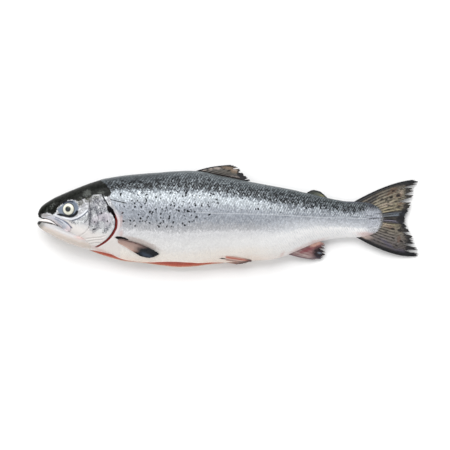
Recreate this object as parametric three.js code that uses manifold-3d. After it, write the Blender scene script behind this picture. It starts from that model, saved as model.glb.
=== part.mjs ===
// A whole raw salmon, gutted, lying on its right side with its left flank up.
//
// Millimetres, +Z up. +X runs from the snout to the tail and +Y towards the back. The origin lies on the table, under
// the middle of the fish's bounding box.
//
// Places on the fish are given as [along, height]: along the body from the tip of the lower jaw, and height above the
// body's long axis, towards the back. Seen from above, the fish is drawn in exactly those two directions, so the body
// is a pair of height fields over its outline: the mid surface of the fish, plus and minus half its thickness.
import * as THREE from "three";
import { mergeVertices } from "three/addons/utils/BufferGeometryUtils.js";
import Module from "manifold-3d";

const wasm = await Module();
wasm.setup();

// ---------------------------------------------------------------------------------------------- driving dimensions

const GAP = 0.35; // between two pieces that touch

// Outline of the head and trunk: [along, height]. In front of the corner of the mouth the belly line is the upper lip.
const BACK_LINE = [
  [1.2, 6.2], [3.2, 12.2], [7, 18.2], [12, 22.7], [20, 28.2], [36, 36.9], [56, 45.6], [91, 59.4], [120, 68.6],
  [158, 74.9], [221, 80.3], [270, 83.2], [290, 82.6], [329, 73.9], [383, 63.5], [455, 50], [502, 39.5], [554, 28.7],
  [580, 27.3], [594, 26], [606, 22.3], [615, 16.6], [621, 9], [624, -1.5],
];
const BELLY_LINE = [
  [1.2, 4.6], [3.2, -0.6], [7, -2.2], [19, -4.2], [28, -9], [36, -16.5], [55, -34], [77, -52.2], [92, -58.9],
  [120, -70.2], [158, -80.4], [185, -83], [221, -88.2], [257, -91.8], [284, -90.2], [311, -86], [342, -82],
  [383, -78.7], [420, -77], [440, -72], [455, -66.2], [482, -54.5], [502, -46.3], [527, -40.3], [560, -36.8],
  [580, -37.3], [594, -35], [606, -30.5], [615, -24], [621, -15], [624, -3.8],
];
// Half the thickness of the body.
const HALF_THICKNESS = [
  [1.2, 0.8], [3.2, 6.2], [7, 9.5], [12, 12.4], [20, 15.6], [36, 20.6], [56, 25.6], [77, 29.7], [106, 33.8],
  [135, 36.3], [185, 38.5], [240, 39], [290, 38.2], [356, 35.3], [420, 30.6], [482, 24], [527, 18.2], [560, 14.2],
  [594, 9.6], [606, 7.7], [615, 5.8], [621, 3.8], [624, 0.8],
];
// Height of the body's mid plane above the table. The tail end sinks towards the table.
const MID_HEIGHT = [
  [0, 26.6], [28, 28.2], [56, 29.8], [92, 31.6], [135, 33.2], [185, 34.3], [290, 34.2], [356, 32.6], [420, 29.2],
  [482, 23.4], [527, 19], [560, 16], [594, 13.2], [624, 11], [690, 5.2],
];
// How far the mid surface hangs down at the belly edge.
const BELLY_SAG = [
  [0, 0], [40, 0], [92, 7], [150, 13], [240, 15], [330, 13], [440, 8], [520, 4], [624, 0], [690, 0],
];
const FULLNESS = 0.2; // share by which a section is thicker towards the back, and thinner towards the belly
const EMPTY_PINCH = 0.24; // share by which the emptied belly walls draw together at their edge

// The lower jaw, which hangs a little open: [along, height].
const JAW_TOP = [
  [0, -11.2], [1.4, -8.6], [5, -7.4], [11, -8.6], [18, -10.2], [27, -10.6], [36, -14.2], [59, -23], [80, -29],
  [104, -43],
];
const JAW_BOTTOM = [
  [0, -12.4], [1.4, -15.6], [5, -20], [11, -24.4], [18, -28.2], [36, -38.2], [59, -48.2], [80, -55], [92, -56.6],
  [104, -54],
];
const JAW_HALF_WIDTH = [
  [0, 0.8], [1.4, 4.8], [5, 7.8], [11, 10.8], [18, 13], [36, 17.6], [59, 21.6], [76, 22.5], [90, 18], [104, 8],
];

// Rear edge of the gill cover: [height as a share of the section, 1 at the back and -1 at the belly, along].
const GILL_EDGE = [
  [-1, 92], [-0.9, 99], [-0.76, 110], [-0.62, 121], [-0.48, 130], [-0.34, 136.6], [-0.2, 141], [-0.08, 141.6],
  [0.08, 137.2], [0.22, 131], [0.4, 124], [0.57, 117.6], [0.8, 113], [1, 112],
];
const GILL_STATION = 122; // the section that is bent to follow that edge
const GILL_BEND_REACH = [92, 118]; // how far the bend fades out in front and behind
// Relief across the edge: [distance behind the edge, outward offset].
const GILL_RELIEF = [
  [-80, 0], [-14, 2.1], [-3, 2.7], [-0.4, 2.1], [0.3, -4.6], [2.8, -4.6], [5, 0.4], [9, 0.9], [24, 0],
];

// Eye: its place, the radius of the ball in its socket, and how deep it is from front to back.
const EYE_PLACE = [56.2, 14.4];
const EYE_RADIUS = 12;
const EYE_HALF_DEPTH = 7;
const EYE_STANDS_OUT = 2.8;

// Upper jaw bone, a plate on the cheek: its centre line, half width and thickness.
const JAW_BONE_LINE = [[17, -0.5], [28, -4.5], [40, -12], [51, -20], [60, -25.8]];
const JAW_BONE_HALF_WIDTH = [1.6, 3.4, 4.4, 5.2, 4.4];
const JAW_BONE_THICKNESS = 1.8;

// Belly cut, from the throat to behind the pelvic fins. The upper flap's edge is drawn back from the lower one's.
const CUT_START = 93;
const CUT_END = 336;
const FLAP_DRAWN_BACK = [
  [93, 0.2], [113, 4.4], [131, 5.2], [149, 2.6], [185, 2], [203, 4.2], [221, 7.4], [250, 11], [275, 9.2], [293, 6.2],
  [318, 3.4], [336, 0.2],
];
const CAVITY_DEPTH = [[93, 1], [113, 20], [145, 34], [190, 42], [250, 46], [290, 40], [318, 24], [336, 1]];
const CAVITY_HALF_HEIGHT = [[93, 0.3], [113, 2], [145, 3.2], [250, 3.8], [290, 3.5], [318, 2.2], [336, 0.3]];
const LINING_THICKNESS = 2.6; // the layer of flesh that lines the cavity
const WALL_LEFT = 1.6; // least skin outside the lining

// Fins. Each guide ray runs from its root through a bend to its tip, all [along, height].
const DORSAL_RAYS = [
  { root: [276, 72], bend: [296, 90], tip: [336, 93.2] },
  { root: [292, 70], bend: [316, 85], tip: [354, 91] },
  { root: [312, 66], bend: [336, 78], tip: [366, 82] },
  { root: [334, 60], bend: [354, 67], tip: [378, 72] },
  { root: [350, 57], bend: [366, 62], tip: [384, 66] },
];
const ADIPOSE_RAYS = [
  { root: [478, 36], bend: [486, 47.5], tip: [498, 48.8] },
  { root: [486, 34], bend: [498, 44], tip: [508, 46.4] },
  { root: [494, 32], bend: [506, 38], tip: [516, 40.6] },
  { root: [500, 30], bend: [512, 33], tip: [523, 34] },
];
const TAIL_RAYS = [
  { root: [560, 22], bend: [637, 66], tip: [684, 66.5] },
  { root: [585, 18], bend: [628, 46], tip: [678, 52] },
  { root: [600, 12], bend: [634, 27], tip: [675, 33] },
  { root: [606, 4], bend: [636, 10], tip: [667, 12] },
  { root: [608, -3], bend: [636, -4], tip: [661, -4] },
  { root: [606, -9], bend: [636, -17], tip: [667, -22] },
  { root: [600, -18], bend: [634, -34], tip: [677, -40] },
  { root: [588, -26], bend: [630, -50], tip: [684, -57] },
  { root: [568, -33], bend: [646, -72], tip: [688, -68] },
];
const ANAL_RAYS = [
  { root: [446, -60], bend: [472, -72], tip: [498, -76.8] },
  { root: [460, -54], bend: [488, -68], tip: [514, -74] },
  { root: [476, -46], bend: [500, -60], tip: [519, -64] },
  { root: [490, -40], bend: [506, -51], tip: [519, -54] },
  { root: [500, -38], bend: [510, -46], tip: [518, -48] },
];
const PECTORAL_RAYS = [
  { root: [141, -38], bend: [186, -44], tip: [221, -67] },
  { root: [143, -41], bend: [182, -52], tip: [214, -71] },
  { root: [145, -44], bend: [176, -58], tip: [202, -74] },
  { root: [146, -46.5], bend: [166, -58], tip: [186, -71] },
];
const PELVIC_RAYS = [
  { root: [333, -68.5], bend: [354, -71.5], tip: [386, -77.5] },
  { root: [332, -72], bend: [354, -76], tip: [387, -80] },
  { root: [331, -75], bend: [352, -79.5], tip: [380, -83] },
  { root: [330, -77], bend: [346, -82], tip: [368, -84.5] },
];
// The right fins, pressed between the body and the table, lie a little further down and forward.
const RIGHT_PECTORAL_SHIFT = [0, -6.5];
const RIGHT_PELVIC_SHIFT = [-9, -2.5];
// How far a folded fin's middle stands off the flank, along the fin: [distance behind its root, distance off].
const FIN_STAND_OFF = [[0, 0.2], [14, 1], [40, 1.6], [80, 1.8]];
const LEFT_PECTORAL_STAND_OFF = [[0, 0.2], [14, 1.2], [40, 2.4], [80, 4]];
const LEAST_HEIGHT = 0.9; // of a folded fin's middle above the table

const COLOURS = {
  skin: 0x8d959b,
  flesh: 0xc4604a,
  eye: 0xd9d8b4,
};

// ------------------------------------------------------------------------------------------------- small functions

const clamp01 = (t) => Math.min(1, Math.max(0, t));

function smoothStep(from, to, value) {
  const t = clamp01((value - from) / (to - from));
  return t * t * (3 - 2 * t);
}

// A smooth line through the given [x, y] points that never overshoots them.
function profile(points) {
  const x = points.map((p) => p[0]);
  const y = points.map((p) => p[1]);
  const last = x.length - 1;
  const slope = x.slice(1).map((end, i) => (y[i + 1] - y[i]) / (end - x[i]));
  const tangent = x.map((_, i) => {
    if (i === 0) return slope[0];
    if (i === last) return slope[last - 1];
    if (slope[i - 1] * slope[i] <= 0) return 0;
    return (2 * slope[i - 1] * slope[i]) / (slope[i - 1] + slope[i]);
  });
  return (at) => {
    if (at <= x[0]) return y[0];
    if (at >= x[last]) return y[last];
    let i = 0;
    while (at > x[i + 1]) i += 1;
    const width = x[i + 1] - x[i];
    const t = (at - x[i]) / width;
    const a = 2 * t ** 3 - 3 * t ** 2 + 1;
    const b = (t ** 3 - 2 * t ** 2 + t) * width;
    const c = (t ** 3 - t ** 2) * width;
    return a * y[i] + b * tangent[i] + (1 - a) * y[i + 1] + c * tangent[i + 1];
  };
}

// Numbers from 0 to 1 that look random and are the same each time.
function randomSeries(seed) {
  let state = seed;
  return () => {
    state = (state * 16807) % 2147483647;
    return state / 2147483647;
  };
}

// -------------------------------------------------------------------------------------------- meshes and solids

// A closed geometry from rings of points, each joined to the next. `capOf` closes the end rings: it gives the triangles
// of a ring's cap as places in the ring, with -1 for the ring's middle.
function loft(rings, capOf) {
  const around = rings[0].length;
  const points = rings.flat();
  const index = [];
  for (let i = 0; i < rings.length - 1; i += 1) {
    for (let j = 0; j < around; j += 1) {
      const next = (j + 1) % around;
      const [a, b] = [i * around + j, i * around + next];
      index.push(a, b, a + around, b, b + around, a + around);
    }
  }
  for (const end of [0, rings.length - 1]) {
    const middle = points.length;
    const total = rings[end].reduce((sum, p) => sum.add(p), new THREE.Vector3());
    points.push(total.divideScalar(around));
    for (const [a, b, c] of capOf(around)) {
      const [p, q, r] = [a, b, c].map((place) => (place < 0 ? middle : end * around + place));
      if (end === 0) index.push(p, r, q);
      else index.push(p, q, r);
    }
  }
  const geometry = new THREE.BufferGeometry().setFromPoints(points);
  geometry.setIndex(index);
  return geometry;
}

// The cap of a round ring: a fan about its middle.
const fanCap = (around) => Array.from({ length: around }, (_, j) => [j, (j + 1) % around, -1]);

// The cap of a flat ring that runs up one face and back down the other: a strip between the two.
const stripCap = (around) =>
  Array.from({ length: around / 2 - 1 }, (_, k) => {
    const [near, nearNext, far, farNext] = [k, k + 1, around - 1 - k, around - 2 - k];
    return [
      [near, nearNext, far],
      [nearNext, farNext, far],
    ];
  }).flat();

function solidOf(geometry) {
  const bare = geometry.clone();
  bare.deleteAttribute("normal");
  bare.deleteAttribute("uv");
  const merged = mergeVertices(bare, 1e-3);
  const triVerts = new Uint32Array(merged.index.array);
  const vertProperties = merged.attributes.position.array;
  const made = new wasm.Manifold(new wasm.Mesh({ numProp: 3, vertProperties, triVerts }));
  if (made.volume() > 0) return made;
  triVerts.reverse();
  return new wasm.Manifold(new wasm.Mesh({ numProp: 3, vertProperties, triVerts }));
}

const largest = (solid) => solid.decompose().reduce((a, b) => (a.volume() > b.volume() ? a : b));

function geometryOf(solid) {
  const mesh = largest(solid.simplify(0.02)).getMesh();
  const geometry = new THREE.BufferGeometry();
  geometry.setAttribute("position", new THREE.BufferAttribute(new Float32Array(mesh.vertProperties), 3));
  geometry.setIndex(new THREE.BufferAttribute(new Uint32Array(mesh.triVerts), 1));
  geometry.computeVertexNormals();
  return geometry;
}

// ------------------------------------------------------------------------------------------------ form of the body

const backAt = profile(BACK_LINE);
const bellyAt = profile(BELLY_LINE);
const halfAt = profile(HALF_THICKNESS);
const midAt = profile(MID_HEIGHT);
const sagAt = profile(BELLY_SAG);
const jawTopAt = profile(JAW_TOP);
const jawBottomAt = profile(JAW_BOTTOM);
const jawWideAt = profile(JAW_HALF_WIDTH);
const gillEdgeAt = profile(GILL_EDGE);
const gillReliefAt = profile(GILL_RELIEF);
const drawnBackAt = profile(FLAP_DRAWN_BACK);
const cavityDepthAt = profile(CAVITY_DEPTH);
const cavityHalfAt = profile(CAVITY_HALF_HEIGHT);

// How much of the gill edge's bend a section takes.
const gillBend = (station) =>
  station < GILL_STATION
    ? smoothStep(GILL_STATION - GILL_BEND_REACH[0], GILL_STATION - 10, station)
    : smoothStep(GILL_STATION + GILL_BEND_REACH[1], GILL_STATION + 10, station);

// Where a section's point lies along the body: sections near the gill cover are bent to follow its edge.
const alongAt = (station, share) => station + (gillEdgeAt(share) - GILL_STATION) * gillBend(station);

// The gill opening fades out towards the nape and the throat.
const gillOpening = (share) => smoothStep(-0.97, -0.84, share) * smoothStep(0.64, 0.5, share);

const shareAt = (along, height) => {
  const back = backAt(along);
  const belly = bellyAt(along);
  return (2 * height - back - belly) / (back - belly);
};
const heightAt = (along, share) => ((1 + share) * backAt(along) + (1 - share) * bellyAt(along)) / 2;

// Height of the mid surface above the table.
const middleAt = (along, share) => midAt(along) - sagAt(along) * Math.min(0, share) ** 2;

// Half the thickness at a point of the section, without relief.
function halfThicknessAt(along, share) {
  const emptied = smoothStep(CUT_START - 10, CUT_START + 40, along) * smoothStep(CUT_END + 40, CUT_END - 20, along);
  const pinch = 1 - EMPTY_PINCH * emptied * smoothStep(-0.3, -1, share);
  const round = Math.sqrt(Math.max(0, 1 - share * share));
  return halfAt(along) * round * (1 + FULLNESS * share) * pinch;
}

// Height above the table of a flank: side is 1 for the left flank, on top, and -1 for the right one.
function flankAt(along, height, side) {
  const share = Math.min(0.999, Math.max(-0.999, shareAt(along, height)));
  return middleAt(along, share) + side * halfThicknessAt(along, share);
}

// The outer skin of head and trunk, grown outwards by `grown`.
function trunkSolid(stations, around, grown) {
  const rings = stations.map((station) =>
    Array.from({ length: around }, (_, j) => {
      const angle = (2 * Math.PI * j) / around;
      const share = Math.cos(angle);
      const along = alongAt(station, share);
      const relief = gillReliefAt(station - GILL_STATION) * (station < GILL_STATION ? 1 : gillOpening(share));
      const cover = relief * Math.abs(Math.sin(angle)) * gillOpening(share);
      const half = halfThicknessAt(along, share) + cover + grown * Math.abs(Math.sin(angle));
      return new THREE.Vector3(
        along,
        heightAt(along, share) + grown * share,
        middleAt(along, share) + Math.sign(Math.sin(angle)) * half,
      );
    }),
  );
  return solidOf(loft(rings, fanCap));
}

// Sections close together round the snout, the gill edge and the tail root, and wider apart along the trunk.
function bodyStations() {
  const snout = [1.2, 3.2, 7, 12, 20];
  const head = Array.from({ length: 13 }, (_, i) => 28 + i * 6.7);
  const gill = [-8, -3, -0.4, 0.3, 2.8, 5, 9, 16].map((behind) => GILL_STATION + behind);
  const trunk = Array.from({ length: 23 }, (_, i) => 151 + i * 18.5);
  const root = [575, 585, 594, 601, 607, 612, 616, 619.5, 622, 624];
  return [...snout, ...head, ...gill, ...trunk, ...root];
}

// Half the width of the lower jaw at a height.
function jawHalfAt(along, height) {
  const [top, bottom] = [jawTopAt(along), jawBottomAt(along)];
  const share = (2 * height - top - bottom) / (top - bottom);
  return jawWideAt(along) * Math.sqrt(Math.max(0, 1 - share * share));
}

// The lower jaw: oval sections between its own top and bottom lines.
function lowerJawSolid() {
  const stations = [0, 1.4, 3, 5, 8, 11, 18, 27, 36, 48, 59, 70, 80, 90, 98, 104];
  const around = 20;
  const rings = stations.map((along) =>
    Array.from({ length: around }, (_, j) => {
      const angle = (2 * Math.PI * j) / around;
      const middle = (jawTopAt(along) + jawBottomAt(along)) / 2;
      const half = (jawTopAt(along) - jawBottomAt(along)) / 2;
      return new THREE.Vector3(
        along,
        middle + half * Math.cos(angle),
        midAt(along) + jawWideAt(along) * Math.sin(angle),
      );
    }),
  );
  return solidOf(loft(rings, fanCap));
}

// The jaw bone that covers the corner of the mouth: a thin oval plate that follows the cheek.
function jawBoneSolid(side) {
  const line = new THREE.SplineCurve(JAW_BONE_LINE.map((p) => new THREE.Vector2(...p)));
  const halfWidth = profile(JAW_BONE_HALF_WIDTH.map((w, i) => [i / (JAW_BONE_HALF_WIDTH.length - 1), w]));
  const steps = 10;
  const around = 10;
  const rings = Array.from({ length: steps + 1 }, (_, i) => {
    const t = i / steps;
    const centre = line.getPoint(t);
    const tangent = line.getTangent(t);
    const endTaper = Math.sqrt(Math.max(0.02, 1 - (2 * Math.abs(t - 0.5)) ** 6));
    return Array.from({ length: around }, (_, j) => {
      const angle = (2 * Math.PI * j) / around;
      const across = halfWidth(t) * endTaper * Math.cos(angle);
      const along = centre.x - tangent.y * across;
      const height = centre.y + tangent.x * across;
      const share = Math.max(-0.9, shareAt(along, height));
      const cheek = Math.max(halfThicknessAt(along, share), jawHalfAt(along, height));
      const lift = JAW_BONE_THICKNESS * endTaper * Math.sin(angle);
      return new THREE.Vector3(along, height, midAt(along) + side * (cheek + lift));
    });
  });
  return solidOf(loft(rings, fanCap));
}

// ------------------------------------------------------------------------------------------------------ belly cut

// Half the height of the cavity, t of the way from its mouth to its round bottom, with its walls moved out by `grown`.
const cavityHalf = (along, t, grown) =>
  (cavityHalfAt(along) * (0.75 + 0.5 * Math.sin(Math.PI * t)) + grown) * Math.sqrt(Math.max(0, 1 - t ** 6));

// The space of the belly cut, with its walls moved outwards by `grown` and `shorter` sections left out at each end. It
// opens downwards past the belly edge, and upwards where the upper flap's edge is drawn back.
function cavitySolid(grown, shorter = 0) {
  const sections = 20;
  const wallSteps = 6;
  const beyond = 14;
  const rings = Array.from({ length: sections + 1 - 2 * shorter }, (_, i) => {
    const along = CUT_START + ((CUT_END - CUT_START) * (i + shorter)) / sections;
    const belly = bellyAt(along);
    const depth = cavityDepthAt(along) + grown;
    const edge = belly + drawnBackAt(along) + grown;
    const at = (height, lift) => {
      const share = Math.max(-1, shareAt(along, height));
      return new THREE.Vector3(along, height, middleAt(along, share) + lift);
    };
    const lower = Array.from({ length: wallSteps + 1 }, (_, k) => {
      const t = Math.sin(((k / wallSteps) * Math.PI) / 2);
      return at(belly + depth * t, -cavityHalf(along, t, grown));
    });
    const upper = Array.from({ length: wallSteps }, (_, k) => {
      const height = edge + (belly + depth - edge) * Math.cos((((k + 1) / wallSteps) * Math.PI) / 2);
      return at(height, cavityHalf(along, (height - belly) / depth, grown));
    });
    const top = middleAt(along, -1) + halfAt(along) + beyond;
    return [
      new THREE.Vector3(along, belly - beyond, lower[0].z),
      ...lower,
      ...upper,
      new THREE.Vector3(along, edge, top),
      new THREE.Vector3(along, belly - beyond, top),
    ];
  });
  return solidOf(loft(rings, stripCap));
}

// ------------------------------------------------------------------------------------------------------------ fins

// A fin: rays that fan out between the guide rays, with thinner skin between them that is torn back at the edge.
// `surface` puts a point of the fin's own [along, height] drawing in space.
function finSolid({ guides, rays, steps, root, edge, torn, seed, surface }) {
  const random = randomSeries(seed);
  const guided = (name, axis) => profile(guides.map((g, i) => [i / (guides.length - 1), g[name][axis]]));
  const [rootX, rootY, bendX, bendY, tipX, tipY] = ["root", "bend", "tip"].flatMap((name) => [
    guided(name, 0),
    guided(name, 1),
  ]);
  const columns = 2 * rays - 1;
  const grid = [];
  for (let i = 0; i < columns; i += 1) {
    const r = i / (columns - 1);
    const isRay = i % 2 === 0;
    const reach = isRay ? 1 - 0.03 * torn * random() : 1 - torn * (0.06 + 0.2 * random() ** 3);
    const column = [];
    for (let k = 0; k <= steps; k += 1) {
      const t = (k / steps) * reach;
      const [a, b, c] = [(1 - t) ** 2, 2 * t * (1 - t), t ** 2];
      const along = a * rootX(r) + b * bendX(r) + c * tipX(r);
      const height = a * rootY(r) + b * bendY(r) + c * tipY(r);
      const thickness = THREE.MathUtils.lerp(root, edge, Math.sqrt(t)) * (isRay ? 1 : 0.62);
      column.push({ along, height, thickness });
    }
    grid.push(column);
  }
  const point = ({ along, height, thickness }, side) => {
    const step = 0.5;
    const centre = surface(along, height);
    const ahead = surface(along + step, height).sub(centre);
    const above = surface(along, height + step).sub(centre);
    return centre.add(ahead.cross(above).normalize().multiplyScalar((side * thickness) / 2));
  };
  // Each ring runs up one face of the fin and back down the other.
  const rings = grid.map((column) => [
    ...column.map((p) => point(p, 1)),
    ...[...column].reverse().map((p) => point(p, -1)),
  ]);
  return solidOf(loft(rings, stripCap));
}

// The fins of the back, belly edge and tail lie in the fish's mid surface.
const medianSurface = (along, height) => {
  const share = along > 560 ? 0 : Math.max(-1, Math.min(1, shareAt(along, height)));
  const wave = 0.8 * Math.sin(height / 9) * smoothStep(620, 670, along);
  const droop = 2.6 * smoothStep(30, 75, Math.abs(height)) * smoothStep(600, 680, along);
  return new THREE.Vector3(along, height, middleAt(along, share) + wave - droop);
};
const analSurface = (along, height) => {
  const outward = Math.max(0, bellyAt(along) - height);
  return new THREE.Vector3(along, height, middleAt(along, -1) - 0.35 * outward);
};
// A paired fin lies folded back along its flank.
function flankSurface(side, guides, standOff) {
  const rootAt = guides[0].root[0];
  const offAt = profile(standOff);
  return (along, height) => {
    const off = offAt(along - rootAt);
    return new THREE.Vector3(along, height, Math.max(flankAt(along, height, side) + side * off, LEAST_HEIGHT));
  };
}

// ------------------------------------------------------------------------------------------------------------ eyes

function eyeSolid(side, grown) {
  const [along, height] = EYE_PLACE;
  const step = 3;
  const place = new THREE.Vector3(along, height, flankAt(along, height, side));
  const ahead = new THREE.Vector3(along + step, height, flankAt(along + step, height, side)).sub(place);
  const above = new THREE.Vector3(along, height + step, flankAt(along, height + step, side)).sub(place);
  const outward = ahead.cross(above).normalize().multiplyScalar(side);
  const geometry = new THREE.SphereGeometry(1, 16, 10);
  geometry.rotateX(Math.PI / 2);
  geometry.scale(EYE_RADIUS + grown, EYE_RADIUS + grown, EYE_HALF_DEPTH + grown);
  geometry.applyQuaternion(new THREE.Quaternion().setFromUnitVectors(new THREE.Vector3(0, 0, 1), outward));
  const depth = EYE_STANDS_OUT - EYE_HALF_DEPTH;
  geometry.translate(...place.addScaledVector(outward, depth).toArray());
  return solidOf(geometry);
}

// -------------------------------------------------------------------------------------------------------- assembly

function tableSlab() {
  const slab = new THREE.BoxGeometry(900, 400, 100);
  slab.translate(344, 0, -50);
  return solidOf(slab);
}

const AROUND = 42;
const stations = bodyStations();
const skin = trunkSolid(stations, AROUND, 0);
const table = tableSlab();

const moved = (guides, [along, height]) =>
  guides.map((guide) =>
    Object.fromEntries(Object.entries(guide).map(([name, [x, y]]) => [name, [x + along, y + height]])),
  );
const median = { steps: 5, root: 5, edge: 1.1, torn: 1, surface: medianSurface };
const folded = (guides, side, standOff) => ({ guides, surface: flankSurface(side, guides, standOff) });
const pectoral = { rays: 8, steps: 6, root: 2.4, edge: 1, torn: 0.4, seed: 41 };
const pelvic = { rays: 6, steps: 4, root: 2.4, edge: 1, torn: 0.6, seed: 77 };
const rightPectoral = moved(PECTORAL_RAYS, RIGHT_PECTORAL_SHIFT);
const rightPelvic = moved(PELVIC_RAYS, RIGHT_PELVIC_SHIFT);
const fins = [
  { ...median, guides: DORSAL_RAYS, rays: 10, seed: 11 },
  { ...median, guides: ADIPOSE_RAYS, rays: 5, steps: 4, root: 4, torn: 0.15, seed: 23 },
  { ...median, guides: TAIL_RAYS, rays: 18, steps: 6, root: 6, seed: 5 },
  { ...median, guides: ANAL_RAYS, rays: 8, root: 4, seed: 31, surface: analSurface },
  { ...pectoral, ...folded(PECTORAL_RAYS, 1, LEFT_PECTORAL_STAND_OFF) },
  { ...pectoral, ...folded(rightPectoral, -1, FIN_STAND_OFF) },
  { ...pelvic, ...folded(PELVIC_RAYS, 1, FIN_STAND_OFF) },
  { ...pelvic, ...folded(rightPelvic, -1, FIN_STAND_OFF) },
].map(finSolid);

// Skin, head and fins are one solid, opened along the belly.
const body = [lowerJawSolid(), jawBoneSolid(1), jawBoneSolid(-1), ...fins]
  .reduce((whole, piece) => whole.add(piece), skin)
  .subtract(cavitySolid(LINING_THICKNESS))
  .subtract(eyeSolid(1, GAP))
  .subtract(eyeSolid(-1, GAP))
  .subtract(table);

// The flesh that shows in the cut: it lines the cavity, a gap away from the wall outside it.
const insideOfWall = trunkSolid(stations, AROUND, -WALL_LEFT);
const bellyFlesh = cavitySolid(LINING_THICKNESS - GAP, 1)
  .intersect(insideOfWall)
  .subtract(cavitySolid(0));

const fish = new THREE.Group();

function addPiece(name, solid, colour, roughness) {
  const material = new THREE.MeshStandardMaterial({ color: colour, roughness, metalness: 0 });
  const mesh = new THREE.Mesh(geometryOf(solid), material);
  mesh.name = name;
  fish.add(mesh);
}

addPiece("body", body, COLOURS.skin, 0.3);
addPiece("belly_flesh", bellyFlesh, COLOURS.flesh, 0.4);
addPiece("eye_left", eyeSolid(1, 0), COLOURS.eye, 0.1);
addPiece("eye_right", eyeSolid(-1, 0), COLOURS.eye, 0.1);
// The fish is centred over the origin.
const bounds = new THREE.Box3().setFromObject(fish);
fish.position.set(-(bounds.min.x + bounds.max.x) / 2, -(bounds.min.y + bounds.max.y) / 2, 0);

export default fish;
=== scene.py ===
"""The looks of a whole raw salmon, gutted and laid on its right side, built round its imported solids.

Sizes are in millimetres in the fish's own drawing: `along` runs from the tip of the lower jaw to the tail,
`height` lies across the body above its long axis, towards the back, and z is the height above the table. Every
surface is made in that drawing and moved to the part's frame, in metres, when its mesh is built. A shade is a
display colour, from 0 to 255; a colour is the linear one that shaders take.
"""

from __future__ import annotations

import functools
import logging
import math
from collections.abc import Callable, Sequence
from dataclasses import dataclass, field
from enum import Enum

import bmesh
import bpy
import numpy as np
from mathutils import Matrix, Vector

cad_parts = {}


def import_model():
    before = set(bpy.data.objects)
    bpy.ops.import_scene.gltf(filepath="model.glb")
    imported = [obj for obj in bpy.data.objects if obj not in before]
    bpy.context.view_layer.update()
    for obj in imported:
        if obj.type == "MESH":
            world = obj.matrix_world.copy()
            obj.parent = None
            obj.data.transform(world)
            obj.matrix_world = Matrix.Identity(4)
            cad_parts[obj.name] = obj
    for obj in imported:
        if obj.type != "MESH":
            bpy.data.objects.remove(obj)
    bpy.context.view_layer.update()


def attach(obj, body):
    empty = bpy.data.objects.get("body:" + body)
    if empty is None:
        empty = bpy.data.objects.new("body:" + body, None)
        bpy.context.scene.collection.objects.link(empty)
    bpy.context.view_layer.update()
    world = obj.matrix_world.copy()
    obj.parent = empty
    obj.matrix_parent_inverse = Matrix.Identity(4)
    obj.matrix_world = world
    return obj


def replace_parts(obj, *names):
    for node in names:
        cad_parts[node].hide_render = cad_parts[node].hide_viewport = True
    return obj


log = logging.getLogger("salmon")

Array = np.ndarray
Colour = tuple[float, float, float, float]
Point = tuple[float, float]
Line = tuple[Point, ...]
Oval = tuple[float, float, float, float, float]  # along, height, half length, half width, turn in degrees
Shade = tuple[int, int, int]
Stops = tuple[tuple[float, int, int, int], ...]  # place on a ramp, then red, green and blue

MM = 0.001
ORIGIN_ALONG, ORIGIN_HEIGHT = 343.1605, 1.9207  # the drawing's place of the frame's origin
FAR = 99.0


# -------------------------------------------------------------------------------------------- small functions


def smooth_step(start: float, end: float, value: Array | float) -> Array:
    """A soft step from 0 at start to 1 at end, which may lie below it (3 t squared less 2 t cubed)."""
    t = np.clip((np.asarray(value, float) - start) / (end - start), 0.0, 1.0)
    return t * t * (3 - 2 * t)


def plateau(value: Array | float, rise: Point, fall: Point) -> Array:
    """A soft step up over the first pair of places, times a soft step down over the second."""
    return smooth_step(*rise, value) * smooth_step(fall[1], fall[0], value)


def hump(distance: Array, width: float) -> Array:
    """A bell curve: e to the minus the square of distance over width."""
    return np.exp(-((distance / width) ** 2))


def turns(count: int) -> Array:
    """Angles spaced evenly round a circle, as one row."""
    return np.linspace(0, 2 * np.pi, count, endpoint=False)[None, :]


def stacked(*parts: Array | float) -> Array:
    """Two or three grids as one grid of points; a row, a column or a number is spread over the grid."""
    return np.stack(np.broadcast_arrays(*parts), axis=2)


def paint(red: int, green: int, blue: int) -> Colour:
    """A display colour as the linear one that shaders take, with full opacity (the sRGB curve)."""
    r, g, b = (((c / 255 + 0.055) / 1.055) ** 2.4 if c > 10 else c / 255 / 12.92 for c in (red, green, blue))
    return (r, g, b, 1.0)


@dataclass(frozen=True)
class Profile:
    """A smooth line through [x, y] points that never overshoots (cubic pieces with harmonic mean slopes)."""

    points: Line

    def __call__(self, at: Array | float) -> Array:
        """Heights of the line.

        Args:
            at: Places along x; beyond the ends the end heights hold.
        Returns:
            The line's y at each place.
        """
        x, y = np.array(self.points, float).T
        slope = np.diff(y) / np.diff(x)
        product = slope[:-1] * slope[1:]
        total = np.where(product > 0, slope[:-1] + slope[1:], 1.0)
        inner = np.where(product > 0, 2 * product / total, 0.0)
        tangent = np.concatenate([slope[:1], inner, slope[-1:]])
        at = np.clip(np.asarray(at, float), x[0], x[-1])
        i = np.clip(np.searchsorted(x, at, side="left") - 1, 0, len(x) - 2)
        width = x[i + 1] - x[i]
        t = (at - x[i]) / width
        a = 2 * t**3 - 3 * t**2 + 1
        rise = (t**3 - 2 * t**2 + t) * width * tangent[i] + (t**3 - t**2) * width * tangent[i + 1]
        return a * y[i] + (1 - a) * y[i + 1] + rise


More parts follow.
